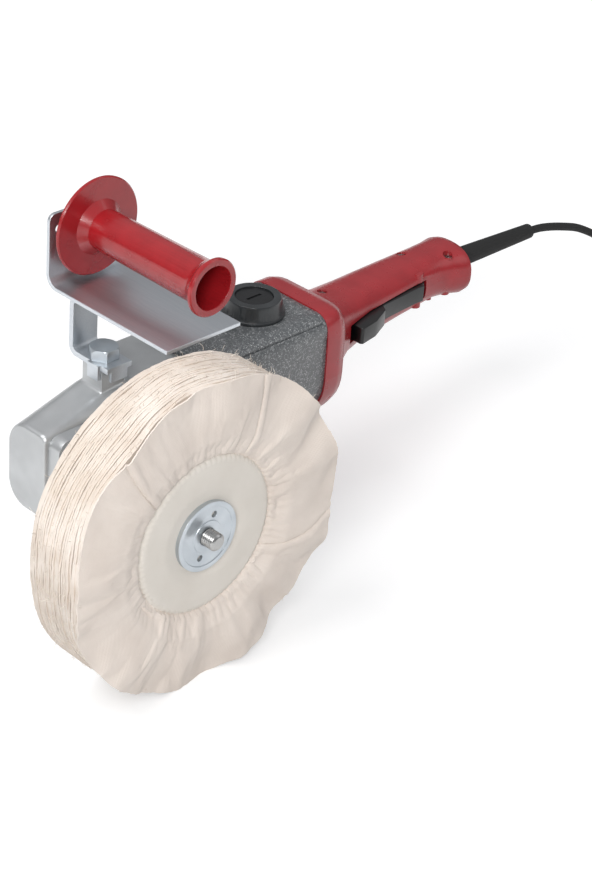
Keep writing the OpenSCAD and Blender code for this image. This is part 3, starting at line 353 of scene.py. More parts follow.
class Shop:
    """The finishes that the machine uses."""

    # Unbleached cotton, woven in a 0.5 mm thread, drawn at 1.1 mm so that it shows
    cotton = Finish(
        "unbleached_cotton", "#E9DED4", "#DCCFC4", Pattern.WOVEN, 1.1, 0.18, 0.95, sheen=0.15
    )
    # The same cotton inside the seam, pressed flat, in a slightly greyer tone
    pressed_cotton = Finish(
        "pressed_cotton", "#E3DDD4", "#D9D2C8", Pattern.WOVEN, 1.1, 0.12, 0.95, sheen=0.1
    )
    # Cut cotton edges at the wheel's rim: the same cloth, seen end on
    cut_edge = Finish(
        "cut_cotton_edge", "#E6DCD2", "#D8CBBE", Pattern.CAST, 0.9, 0.35, 0.95, sheen=0.15
    )
    # Sewing thread, paler than the cloth
    thread = Finish("cotton_thread", "#F3ECE2", "#D9CBBB", Pattern.CAST, 0.3, 0.1, 0.9, sheen=0.2)
    # ABS, injection moulded in red: a faint haze and flow marks under a soft gloss
    red_abs = Finish(
        "red_abs_shell", "#A2262C", "#992228", Pattern.MOULDED, 0.5, 0.03, 0.30, ior=1.54
    )
    # Polyamide, moulded in red and polished by hands: sharper highlights
    red_grip = Finish(
        "red_polyamide_grip", "#9E1C22", "#94181E", Pattern.MOULDED, 0.6, 0.02, 0.24, coat=0.2,
        ior=1.53,
    )
    # Die-cast aluminium under a silver lacquer: satin, with a fine grain
    cast_head = Finish(
        "lacquered_cast_aluminium", "#C2C4C5", "#B6B8B9", Pattern.CAST, 0.9, 0.10, 0.36, 0.6
    )
    # Hammer paint on the motor's casing: dark grey with pale flecks and soft dimples
    hammer = Finish(
        "hammer_paint", "#55585A", "#C4C6C6", Pattern.HAMMERED, 2.0, 0.35, 0.36, coat=0.2
    )
    # Bright zinc on rolled sheet steel: satin, with the roller's faint lines along the sheet
    zinc_sheet = Finish(
        "bright_zinc_sheet", "#D3D7DB", "#CDD2D7", Pattern.BRUSHED, 1.2, 0.006, 0.44, 1.0,
        stretch=(1, 0.06, 1),
    )
    # Zinc plate on turned or pressed steel, a little blue and cloudy
    zinc_part = Finish(
        "zinc_plated_steel", "#C4CACF", "#B6BDC3", Pattern.CAST, 0.8, 0.03, 0.34, 0.85
    )
    # Plain turned steel
    steel = Finish("turned_steel", "#B9B9B8", "#9C9C9B", Pattern.BRUSHED, 0.5, 0.03, 0.28, 1.0)
    # Hardened gear steel, darker
    gear_steel = Finish(
        "hardened_steel", "#8C8E90", "#77797B", Pattern.BRUSHED, 0.6, 0.03, 0.34, 1.0
    )
    # Ground bearing steel
    bearing = Finish(
        "ground_bearing_steel", "#C6C8CA", "#B4B6B8", Pattern.BRUSHED, 0.4, 0.02, 0.18, 1.0
    )
    # Steel blackened by oil
    black_steel = Finish(
        "blackened_steel", "#3B3D40", "#2C2E30", Pattern.CAST, 0.5, 0.04, 0.42, 0.8
    )
    # Glass-filled polyamide, moulded in black: matt with a fine grain
    black_nylon = Finish(
        "black_glass_filled_nylon", "#17181A", "#111213", Pattern.MOULDED, 0.35, 0.05, 0.42
    )
    # The brush ring's grey-black moulding, rubbed a little paler
    brush_ring = Finish(
        "brush_ring_moulding", "#2E3133", "#222527", Pattern.MOULDED, 0.5, 0.12, 0.30, coat=0.2
    )
    # Trigger moulding, smooth and black
    trigger = Finish("trigger_moulding", "#151617", "#0F1011", Pattern.MOULDED, 0.4, 0.04, 0.34)
    # Synthetic rubber on the cord, its sleeve and the plug
    rubber = Finish("black_rubber", "#121314", "#0D0E0E", Pattern.MOULDED, 0.5, 0.05, 0.40)
    # Stacked electrical steel, 0.5 mm a sheet, drawn at 1 mm
    lamination = Finish(
        "stacked_electrical_steel", "#83868A", "#5D6064", Pattern.WOUND, 1.0, 0.2, 0.45, 0.8
    )
    # Enamelled copper wire of 0.6 mm
    wire = Finish(
        "enamelled_copper_wire", "#B06034", "#7E3B1E", Pattern.WOUND, 0.8, 0.3, 0.30, 0.7
    )
    # Turned copper of the commutator
    copper = Finish("turned_copper", "#C47C50", "#A9653D", Pattern.BRUSHED, 0.5, 0.03, 0.28, 1.0)
    # Drawn brass of the brush tubes and the plug's pins
    brass = Finish("drawn_brass", "#C9A65A", "#B18E46", Pattern.BRUSHED, 0.6, 0.03, 0.26, 1.0)
    # Pressed carbon
    carbon = Finish("pressed_carbon", "#2B2C2E", "#1F2021", Pattern.CAST, 0.4, 0.1, 0.7)
    # Natural polyamide of the switch's plunger
    natural_nylon = Finish("natural_nylon", "#DAD6CB", "#C9C5B9", Pattern.MOULDED, 0.5, 0.04, 0.4)

    by_slot: dict[str, Finish] = {
        "wheel_cloth": cotton,
        "zinc_steel": zinc_part,
        "bright_steel": steel,
        "gear_steel": gear_steel,
        "bearing_steel": bearing,
        "cast_head": cast_head,
        "dark_screw": black_steel,
        "black_plastic": black_nylon,
        "lamination": lamination,
        "copper_wire": wire,
        "copper_bar": copper,
        "hammertone": hammer,
        "brass_part": brass,
        "carbon": carbon,
        "spring_steel": steel,
        "boss_plastic": brush_ring,
        "cap_plastic": black_nylon,
        "red_shell": red_abs,
        "trigger_plastic": trigger,
        "white_plastic": natural_nylon,
        "black_rubber": rubber,
        "bow_steel": zinc_sheet,
        "red_handle": red_grip,
    }


# ---- The bench: how a piece is made ----


def deselect() -> None:
    """Leaves nothing selected and nothing active."""
    for each in bpy.context.selected_objects:
        each.select_set(False)
    bpy.context.view_layer.objects.active = None


class Workpiece:
    """A mesh on the bench, shaped by operators and then handed to a body."""

    def __init__(self, made: bpy.types.Object, name: str) -> None:
        """Takes an object onto the bench.

        Args:
            made: The object.
            name: The name of the piece that it becomes.
        """
        self.made = made
        made.name = name
        made.data.name = name

    @classmethod
    def copied(cls, node: str, name: str) -> "Workpiece":
        """Copies a CAD node, joins its loose triangles and clears lines inside flat faces.

        Args:
            node: The CAD node.
            name: The new piece's name.

        Returns:
            The copy, on the bench.
        """
        source = bpy.data.objects[node]
        made = bpy.data.objects.new(name, source.data.copy())
        bpy.context.scene.collection.objects.link(made)
        made.data.materials.clear()
        piece = cls(made, name)
        piece.edit()
        bpy.ops.mesh.select_all(action="SELECT")
        bpy.ops.mesh.remove_doubles(threshold=0.00001)
        bpy.ops.mesh.customdata_custom_splitnormals_clear()
        bpy.ops.mesh.dissolve_limited(angle_limit=math.radians(0.6))
        piece.leave()
        return piece

    @classmethod
    def block(cls, name: str, low: Vector, high: Vector) -> "Workpiece":
        """Adds a block.

        Args:
            name: The piece's name.
            low: Its lowest corner, in millimetres.
            high: Its highest corner, in millimetres.

        Returns:
            The block, on the bench.
        """
        deselect()
        bpy.ops.mesh.primitive_cube_add(size=1)
        piece = cls(bpy.context.active_object, name)
        low, high = Vector(low) * MM, Vector(high) * MM
        span = high - low
        piece.made.data.transform(
            Matrix.Translation((low + high) / 2) @ Matrix.Diagonal((span.x, span.y, span.z, 1))
        )
        return piece

    @classmethod
    def turned(
        cls,
        name: str,
        outline: list[tuple[float, float]],
        foot: tuple[float, float, float],
        axis: str = "Y",
        steps: int = 64,
    ) -> "Workpiece":
        """Turns an outline round an axis, as on a lathe.

        Args:
            name: The piece's name.
            outline: Radius and height of each corner in millimetres, from axis to axis.
            foot: The point of the axis where the height is 0, in millimetres.
            axis: The axis, X, Y or Z. A height runs along it.
            steps: Facets round the axis.

        Returns:
            The turned piece, on the bench.
        """
        along = {"X": Vector((1, 0, 0)), "Y": Vector((0, 1, 0)), "Z": Vector((0, 0, 1))}[axis]
        out = {"X": Vector((0, 1, 0)), "Y": Vector((0, 0, 1)), "Z": Vector((1, 0, 0))}[axis]
        at = [(Vector(foot) + out * r + along * h) * MM for r, h in outline]
        deselect()
        bpy.ops.mesh.primitive_plane_add(size=0.001)
        piece = cls(bpy.context.active_object, name)
        piece.edit()
        bpy.ops.mesh.select_all(action="SELECT")
        bpy.ops.mesh.merge(type="CENTER")
        bpy.ops.transform.translate(value=at[0])
        for start, end in zip(at, at[1:]):
            bpy.ops.mesh.extrude_region_move(TRANSFORM_OT_translate={"value": end - start})
        bpy.ops.mesh.select_all(action="SELECT")
        bpy.ops.mesh.spin(steps=steps, angle=math.tau, center=Vector(foot) * MM, axis=along)
        bpy.ops.mesh.select_all(action="SELECT")
        bpy.ops.mesh.remove_doubles(threshold=0.000005)
        bpy.ops.mesh.normals_make_consistent(inside=False)
        piece.leave()
        return piece

    @classmethod
    def from_points(cls, name: str, points: list, faces: list) -> "Workpiece":
        """Makes a piece whose points follow a rule, such as a ply or a thread.

        Args:
            name: The piece's name.
            points: Its points, in metres.
            faces: Its faces, as lists of point numbers.

        Returns:
            The piece, on the bench.
        """
        mesh = bpy.data.meshes.new(name)
        mesh.from_pydata([tuple(p) for p in points], [], faces)
        made = bpy.data.objects.new(name, mesh)
        bpy.context.scene.collection.objects.link(made)
        return cls(made, name)

    def edit(self) -> None:
        """Selects the piece alone and opens it in edit mode."""
        self.take()
        bpy.ops.object.mode_set(mode="EDIT")

    def leave(self) -> None:
        """Goes back to object mode."""
        bpy.ops.object.mode_set(mode="OBJECT")

    def take(self) -> None:
        """Selects the piece alone."""
        deselect()
        self.made.select_set(True)
        bpy.context.view_layer.objects.active = self.made

    def modify(self, kind: str, **settings: object) -> "Workpiece":
        """Adds a modifier, sets it and applies it.

        Args:
            kind: The modifier's type.
            settings: Its properties.

        Returns:
            The piece itself.
        """
        self.take()
        modifier = self.made.modifiers.new(kind.lower(), kind)
        for key, value in settings.items():
            setattr(modifier, key, value)
        bpy.ops.object.modifier_apply(modifier=modifier.name)
        return self

    def edges(self, width_mm: float, segments: int = 3, angle: float = 28) -> "Workpiece":
        """Rounds the piece's edges that are sharper than an angle.

        Args:
            width_mm: How far the rounding reaches from an edge.
            segments: Facets across the rounding.
            angle: The angle, in degrees.

        Returns:
            The piece itself.
        """
        return self.modify(
            "BEVEL",
            width=width_mm * MM,
            segments=segments,
            limit_method="ANGLE",
            angle_limit=math.radians(angle),
            use_clamp_overlap=True,
            miter_outer="MITER_ARC",
            harden_normals=False,
        )

    def recast(self, grain_mm: float, smoothing: int, keep: float) -> "Workpiece":
        """Gives a piece the soft edges of a casting or a moulding.

        Args:
            grain_mm: Size of the new mesh's cells.
            smoothing: How many times its points are evened out.
            keep: Share of the faces that stay.

        Returns:
            The piece itself.
        """
        self.modify("REMESH", mode="VOXEL", voxel_size=grain_mm * MM, use_smooth_shade=True)
        self.modify("SMOOTH", factor=0.5, iterations=smoothing)
        return self.modify("DECIMATE", ratio=keep)

    def cut(self, tool: "Workpiece") -> "Workpiece":
        """Takes another piece's shape away from this one, and clears the tool away.

        Args:
            tool: The piece that cuts.

        Returns:
            The piece itself.
        """
        self.modify("BOOLEAN", operation="DIFFERENCE", object=tool.made, solver="EXACT")
        bpy.data.objects.remove(tool.made)
        return self

    def join(self, others: list["Workpiece"]) -> "Workpiece":
        """Joins other pieces into this one.

        Args:
            others: The pieces, which end here.

        Returns:
            The piece itself.
        """
        self.take()
        for other in others:
            other.made.select_set(True)
        bpy.ops.object.join()
        return self

    def finish(
        self, finish: Finish, body: str, slot: str, stands_for: list[str], smooth: float = 32
    ) -> bpy.types.Object:
        """Dresses the piece and hands it to its body.

        Args:
            finish: The finish it takes.
            body: The body it rides on.
            slot: The record's material slot. Not used.
            stands_for: The CAD nodes it replaces.
            smooth: The angle in degrees under which its faces shade as one.

        Returns:
            The finished object.
        """
        self.take()
        bpy.ops.object.shade_smooth_by_angle(angle=math.radians(smooth))
        self.made.data.materials.clear()
        self.made.data.materials.append(finish.material())
        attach(self.made, body)
        if stands_for:
            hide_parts(*stands_for)
        deselect()
        LOG.info("%s: %d faces", self.made.name, len(self.made.data.polygons))
        return self.made


# ---- Studio ----


@dataclass
class Studio:
    """The floor, the lights and the camera."""

    floor_z: float
    yaw: float = 43.087
    pitch: float = 30.968
    roll: float = 4.340
    lens: float = 102.304
    sensor: float = 36
    eye: tuple[float, float, float] = (-1.06086, -1.07075, 0.98658)
    aim: tuple[float, float, float] = (0.15, 0.1, 0)
    floor_size: float = 400
    floor_glow: float = 0.42

    def build(self) -> None:
        """Makes the whole studio."""
        self.camera()
        self.floor()
        self.world()
        self.lamp("key", (-0.75, 0.35, 1.45), 0.8, 12.5)
        self.lamp("front", (-1.15, -0.85, 0.95), 0.6, 16.0)
        self.lamp("right", (1.1, -1.0, 1.0), 1.0, 3.0)
        bpy.context.scene.view_settings.view_transform = "Standard"

    def camera(self) -> None:
        """Sets the camera up at the machine's usual three-quarter view."""
        yaw, pitch, roll = (math.radians(a) for a in (self.yaw, self.pitch, self.roll))
        level = Vector((math.cos(yaw), math.sin(yaw), 0))
        forward = level * math.cos(pitch) - Vector((0, 0, math.sin(pitch)))
        side = Vector((math.sin(yaw), -math.cos(yaw), 0))
        top = side.cross(forward)
        right = side * math.cos(roll) + top * math.sin(roll)
        up = top * math.cos(roll) - side * math.sin(roll)
        data = bpy.data.cameras.new("camera")
        data.lens = self.lens
        data.sensor_width = self.sensor
        data.clip_end = 50
        made = bpy.data.objects.new("camera", data)
        turn = Matrix((right, up, -forward)).transposed().to_4x4()
        made.matrix_world = Matrix.Translation(self.eye) @ turn
        bpy.context.scene.collection.objects.link(made)
        bpy.context.scene.camera = made

    def floor(self) -> None:
        """Lays a white floor that keeps the machine's shadow."""
        deselect()
        bpy.ops.mesh.primitive_plane_add(size=self.floor_size, location=(0, 0, self.floor_z))
        floor = bpy.context.active_object
        floor.name = "floor"
        made = bpy.data.materials.new("white_card")
        made.use_nodes = True
        tree = made.node_tree
        tree.nodes.clear()
        rays = add(tree, "ShaderNodeLightPath")
        seen = add(
            tree,
            "ShaderNodeMath",
            {"operation": "MAXIMUM"},
            {0: rays.outputs["Is Camera Ray"], 1: rays.outputs["Is Glossy Ray"]},
        ).outputs["Value"]
        place = add(tree, "ShaderNodeTexCoord").outputs["Object"]
        away = add(
            tree, "ShaderNodeVectorMath", {"operation": "LENGTH"}, {0: place}
        ).outputs["Value"]
        level = add(
            tree,
            "ShaderNodeMapRange",
            links={
                "Value": away,
                "From Min": 0.6,
                "From Max": 2.5,
                "To Min": self.floor_glow,
                "To Max": 1.0,
            },
        ).outputs["Result"]
        lift = add(tree, "ShaderNodeMath", {"operation": "MULTIPLY"}, {0: seen, 1: level})
        matt = add(tree, "ShaderNodeBsdfDiffuse", links={"Color": linear("#DADADA")})
        glow = add(
            tree,
            "ShaderNodeEmission",
            links={"Color": linear("#FFFFFF"), "Strength": lift.outputs["Value"]},
        )
        both = add(
            tree,
            "ShaderNodeAddShader",
            links={0: matt.outputs["BSDF"], 1: glow.outputs["Emission"]},
        )
        add(tree, "ShaderNodeOutputMaterial", links={"Surface": both.outputs["Shader"]})
        floor.data.materials.append(made)

    def world(self) -> None:
        """Fills the room with an even light that darkens towards the horizon."""
        world = bpy.data.worlds.new("studio")
        bpy.context.scene.world = world
        world.use_nodes = True
        tree = world.node_tree
        tree.nodes.clear()
        way = add(tree, "ShaderNodeTexCoord").outputs["Generated"]
        height = add(tree, "ShaderNodeSeparateXYZ", links={"Vector": way}).outputs["Z"]
        level = add(
            tree,
            "ShaderNodeMapRange",
            links={
                "Value": height,
                "From Min": -0.1,
                "From Max": 0.85,
                "To Min": 0.06,
                "To Max": 0.62,
            },
        ).outputs["Result"]
        rays = add(tree, "ShaderNodeLightPath").outputs["Is Camera Ray"]
        strength = add(
            tree, "ShaderNodeMix", {"data_type": "FLOAT"}, {0: rays, 2: level, 3: 1.0}
        ).outputs[0]
        light = add(
            tree, "ShaderNodeBackground", links={"Color": linear("#FBFCFF"), "Strength": strength}
        )
        add(tree, "ShaderNodeOutputWorld", links={"Surface": light.outputs["Background"]})

    def lamp(self, name: str, at: tuple[float, float, float], size: float, power: float) -> None:
        """Hangs a soft square lamp that points at the machine.

        Args:
            name: The lamp's name.
            at: Its place.
            size: Its side, in metres.
            power: Its power, in watts.
        """
        data = bpy.data.lights.new(name, "AREA")
        data.size = size
        data.energy = power
        made = bpy.data.objects.new(name, data)
        made.location = at
        back = Vector(at) - Vector(self.aim)
        made.rotation_euler = back.to_track_quat("Z", "Y").to_euler()
        bpy.context.scene.collection.objects.link(made)


# ---- Cord ----


@dataclass
class MainsCord:
    """The mains lead: from its sleeve to the floor, a coil, and the plug beside it. Millimetres."""

    diameter: float = 7.4
    length: float = 4000
    turns: float = 14.25
    slots: int = 4
    coil_at: tuple[float, float] = (804, 138)
    coil_r: float = 41
    coil_steps: int = 28
    shift_from: float = 0.8
    floor: float = -125
    exit_y: float = 193.2
    exit_z: float = -6.9
    exit_tuck: float = 0.4
    route_steps: int = 6
    tail_steps: int = 5
    route: list[list[float]] = field(
        default_factory=lambda: [
            [592, 194, -9], [610, 194, -13], [628, 193, -18], [645, 193, -24], [661, 193, -32],
            [676, 192, -41], [690, 192, -52], [703, 192, -64], [716, 192, -77], [730, 192, -90],
            [745, 192, -102], [762, 192, -111], [781, 191, -118], [800, 190, -121],
        ]
    )
    tail: list[list[float]] = field(
        default_factory=lambda: [
            [851, 108, -99], [851, 97, -101], [851, 84, -103], [851, 72, -106], [851, 60, -107]
        ]
    )

    def coil(self) -> list[Vector]:
        """Winds the coil: turn beside turn inwards, then up a layer and outwards.

        Returns:
            The centreline, in millimetres.
        """
        start = math.atan2(self.route[-1][1] - self.coil_at[1], self.route[-1][0] - self.coil_at[0])
        found = []
        for i in range(1, int(self.turns * self.coil_steps)):
            turn = i / self.coil_steps
            whole = int(turn)
            step = min(max((turn - whole - self.shift_from) / 0.2, 0), 1)
            step = step * step * (3 - 2 * step)
            here, after = self.slot(whole), self.slot(whole + 1)
            radius = here[0] + (after[0] - here[0]) * step
            height = here[1] + (after[1] - here[1]) * step
            angle = start - turn * math.tau
            found.append(
                Vector(
                    (
                        self.coil_at[0] + radius * math.cos(angle),
                        self.coil_at[1] + radius * math.sin(angle),
                        height,
                    )
                )
            )
        return found

    def slot(self, turn: int) -> tuple[float, float]:
        """Finds a turn's place in the coil.

        Args:
            turn: The turn's number, from 0.

        Returns:
            Its radius and height, in millimetres.
        """
        layer, place = divmod(turn, self.slots)
        place = place if layer % 2 == 0 else self.slots - 1 - place
        radius = self.coil_r + (self.slots / 2 - 0.5 - place) * self.diameter
        return radius, self.floor + (layer + 0.5) * self.diameter

    def centreline(self) -> list[Vector]:
        """Runs the whole route, smoothed between its points.

        Returns:
            The centreline, in metres.
        """
        coil = self.coil()
        lead = self.smoothed([Vector(self.first), *map(Vector, self.route)], self.route_steps)
        tail = self.smoothed([coil[-1], *map(Vector, self.tail)], self.tail_steps)
        return [p * MM for p in [*lead, *coil, *tail[1:]]]

    @property
    def first(self) -> tuple[float, float, float]:
        """The point where the cord leaves its sleeve, in millimetres."""
        return (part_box("cord_lead")[0].x / MM + self.exit_tuck, self.exit_y, self.exit_z)

    @staticmethod
    def smoothed(corners: list[Vector], steps: int) -> list[Vector]:
        """Runs a smooth curve through points.

        Args:
            corners: The points.
            steps: Pieces between two points.

        Returns:
            The curve's points.
        """
        ends = [corners[0] * 2 - corners[1], *corners, corners[-1] * 2 - corners[-2]]
        found = []
        for a, b, c, d in zip(ends, ends[1:], ends[2:], ends[3:]):
            for i in range(steps):
                t = i / steps
                found.append(
                    0.5
                    * (
                        2 * b
                        + (c - a) * t
                        + (2 * a - 5 * b + 4 * c - d) * t * t
                        + (3 * b - a - 3 * c + d) * t**3
                    )
                )
        return [*found, corners[-1]]

    def build(self) -> None:
        """Makes the cord and its plug."""
        points = self.centreline()
        run = sum((b - a).length for a, b in zip(points, points[1:]))
        data = bpy.data.curves.new("mains_cord", "CURVE")
        data.dimensions = "3D"
        data.bevel_depth = self.diameter / 2 * MM
        data.bevel_resolution = 3
        data.use_fill_caps = True
        spline = data.splines.new("POLY")
        spline.points.add(len(points) - 1)
        for spot, point in zip(spline.points, points):
            spot.co = (*point, 1)
        spline.use_smooth = True
        cord = bpy.data.objects.new("mains_cord", data)
        bpy.context.scene.collection.objects.link(cord)
        cord.data.materials.append(Shop.rubber.material())
        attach(cord, MACHINE)
        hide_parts("cord_lead", "cord_coil", "cord_tail")
        plug = self.plug()
        LOG.info("mains_cord: %.2f m", run)

    def plug(self) -> bpy.types.Object:
        """Makes the plug's moulded body with soft edges.

        Returns:
            The finished plug.
        """
        piece = Workpiece.copied("plug_body", "plug_moulding")
        piece.edges(0.8, 3)
        return piece.finish(Shop.rubber, MACHINE, "black_rubber", ["plug_body"])


# ---- Buffing wheel ----


@dataclass
class BuffingWheel:
    """A stack of cotton plies, sewn in a ring and clamped in the middle. Millimetres."""

    radius: float = 125
    seam_r: float = 63
    hub_r: float = 29
    front: float = 0
    back: float = 55
    plies: int = 28
    spots: int = 288
    stitch_count: int = 76
    edge_threads: int = 900
    seam_threads: int = 150
    seed: int = 11
    bore_r: float = 8
    ply_pitch: float = 1.62
    ply_thick: float = 1.85
    ply_inner: float = 84
    ply_lip: float = 9
    bundle: int = 5
    bundle_gap: float = 1.1
    sway_limit: float = 2.5
    cloth_thick: float = 1.1
    sim_steps: int = 14
    sim_reach: float = 2.6
    # Folds of the cloth: angle and width in degrees, and height towards the back in millimetres
    folds: tuple[tuple[float, float, float], ...] = (
        (-86, 7, 6.0), (-73, 5, -4.0), (-53, 6, 5.5), (-63, 5, -3.0), (-36, 8, 3.0), (-21, 6, -3.0),
        (14, 6, -4.0), (25, 6, 4.5), (38, 7, -4.0), (58, 9, 2.5), (80, 10, -3.0), (102, 10, 3.0),
        (126, 9, -2.5), (152, 12, 2.5), (178, 10, -3.0), (203, 10, 3.0), (226, 9, -3.5),
        (250, 8, 2.5),
    )

    def build(self) -> None:
        """Makes the front ply, the stack behind it, the stitches and the loose threads."""
        self.front_ply()
        self.stack()
        self.stitches()
        self.threads()

    def fold(self, angle: float) -> float:
        """How far the cloth stands back at an angle: its folds and a slow wave.

        Args:
            angle: The angle round the spindle, in radians.

        Returns:
            The distance, in millimetres.
        """
        ring = Vector((math.cos(angle), math.sin(angle), 0))
        total = 1.8 * noise.noise(ring * 1.7 + Vector((3, 1, 0)))
        total += 1.2 * noise.noise(ring * 6 + Vector((0, 7, 2)))
        for at, width, height in self.folds:
            off = (math.degrees(angle) - at + 180) % 360 - 180
            total += height * math.exp(-((off / width) ** 2))
        return total

    def edge_wave(self, angle: float, depth: float) -> float:
        """Sideways wave of the cut edge, less at the back of the stack."""
        return self.fold(angle) * (1 - 0.7 * depth)

    def edge_radius(self, angle: float, ply: int) -> float:
        """Radius of a ply's cut edge: worn flats, lap joints and frayed notches.

        Args:
            angle: The angle round the spindle, in radians.
            ply: The ply's number, from 0 at the front.

        Returns:
            The radius, in millimetres.
        """
        ring = Vector((math.cos(angle), math.sin(angle), 0))
        worn = 1.9 * noise.noise(ring * 2.4 + Vector((0, 0, ply * 0.06)))
        own = 0.7 * noise.noise(ring * 6 + Vector((0, 0, ply * 3.1)))
        frayed = 0.45 * noise.noise(ring * 60 + Vector((0, 0, ply * 9.7)))
        lap = 0.9 * math.sin(ply * 2.4)
        return self.radius - 1.8 + worn + own + frayed + lap * 0.4

    def face_height(self, radius: float, angle: float) -> float:
        """Height of the front cloth: flat middle, tucked seam, folds outside.

        Args:
            radius: Distance from the spindle, in millimetres.
            angle: The angle round the spindle, in radians.

        Returns:
            The height along the spindle, in millimetres.
        """
        pressed = 5.2 - 1.8 * self.ease((radius - self.hub_r) / 12)
        seam = self.seam_r + 0.9 * abs((angle * self.stitch_count / math.tau) % 1 * 2 - 1)
        tuck = 2.6 * math.exp(-(((radius - seam) / 2.2) ** 2))
        if radius < seam:
            return pressed + tuck
        out = (radius - seam) / (self.radius - seam)
        swell = 7.4 * self.ease(out / 0.30) - 3.6 * self.ease((out - 0.45) / 0.55)
        pucker = self.puckers(angle) * math.exp(-out * 3.4) * self.ease(out / 0.05)
        folds = self.edge_wave(angle, 0) * self.ease(out * 1.15) ** 1.15
        return pressed + tuck - swell + pucker + folds + self.laps(radius, angle)

    @staticmethod
    def ease(share: float) -> float:
        """Runs smoothly from 0 to 1."""
        share = min(max(share, 0), 1)
        return share * share * (3 - 2 * share)

    @staticmethod
    def puckers(angle: float) -> float:
        """Small gathers that the seam pulls into the cloth."""
        ring = Vector((math.cos(angle), math.sin(angle), 0))
        return 2.4 * noise.noise(ring * 6 + Vector((5, 5, 0))) + 0.8 * noise.noise(ring * 19)

    @staticmethod
    def laps(radius: float, angle: float) -> float:
        """Three creases where the ply's cloth laps over itself.

        Args:
            radius: Distance from the spindle, in millimetres.
            angle: The angle round the spindle, in radians.

        Returns:
            The creases' height, in millimetres.
        """
        total = 0.0
        for at, lean in ((64, 5), (136, -4), (-20, 9)):
            off = math.radians(at + lean * (radius - 95) / 30) - angle
            off = (off + math.pi) % math.tau - math.pi
            across = off * radius
            ridge = math.exp(-((across / 1.0) ** 2))
            total += 1.3 * ridge - 0.8 * math.exp(-(((across - 3.5) / 3) ** 2))
        return total

    def front_ply(self) -> None:
        """Makes the front ply, with its folds, as one sheet with a thickness."""
        clamped, sewn, around = self.hub_r + 1, self.seam_r + 3, self.spots * 2
        rings = [self.bore_r]
        for start, end, count in (
            (self.bore_r, clamped, 3), (clamped, sewn, 22), (sewn, self.radius, 30)
        ):
            rings += [start + (end - start) * i / count for i in range(1, count + 1)]
        count = len(rings)
        points, faces = [], []
        for i in range(around):
            angle = math.tau * i / around
            edge = self.edge_radius(angle, 0) + 0.4
            for radius in rings:
                share = radius / self.radius
                real = radius + (edge - self.radius) * share**4
                points.append(self.place(real, angle, self.face_height(radius, angle)))
        for i in range(around):
            after = (i + 1) % around
            for j in range(count - 1):
                faces.append(
                    [i * count + j, after * count + j, after * count + j + 1, i * count + j + 1]
                )
        piece = Workpiece.from_points("front_ply", points, faces)
        self.relax(piece)
        piece.modify("SOLIDIFY", thickness=self.cloth_thick * MM, offset=-1)
        made = piece.finish(Shop.cotton, SPINDLE, "wheel_cloth", ["cloth_wheel"], smooth=60)
        made.data.materials.append(Shop.pressed_cotton.material())
        for face in made.data.polygons:
            if math.hypot(face.center.x, face.center.z) < self.seam_r * MM:
                face.material_index = 1

    def relax(self, piece: Workpiece) -> None:
        """Lets the cloth outside the seam buckle by itself, and keeps each point near its place.

        Args:
            piece: The front ply.
        """
        made = piece.made
        rest = [v.co.copy() for v in made.data.vertices]
        held = made.vertex_groups.new(name="held")
        for vertex in made.data.vertices:
            if math.hypot(vertex.co.x, vertex.co.z) / MM < self.seam_r + 2:
                held.add([vertex.index], 1.0, "REPLACE")
        piece.take()
        cloth = made.modifiers.new("cloth", "CLOTH")
        cloth.settings.vertex_group_mass = "held"
        cloth.settings.quality = 5
        cloth.settings.mass = 0.3
        cloth.settings.shrink_min = -0.05
        cloth.settings.tension_stiffness = 15
        cloth.settings.compression_stiffness = 15
        cloth.settings.bending_stiffness = 2.0
        cloth.settings.effector_weights.gravity = 0
        cloth.collision_settings.use_collision = False
        for frame in range(1, self.sim_steps + 1):
            bpy.context.scene.frame_set(frame)
        bpy.ops.object.modifier_apply(modifier="cloth")
        bpy.context.scene.frame_set(1)
        limit = self.sim_reach * MM
        for vertex, was in zip(made.data.vertices, rest):
            moved = vertex.co - was
            if moved.length > limit:
                moved *= limit / moved.length
            vertex.co = was + moved
        LOG.info("front_ply: simulated")

    @staticmethod
    def place(radius: float, angle: float, depth: float) -> Vector:
        """Point at a radius, an angle and a depth along the spindle, in metres."""
        return Vector((radius * math.cos(angle), depth, radius * math.sin(angle))) * MM

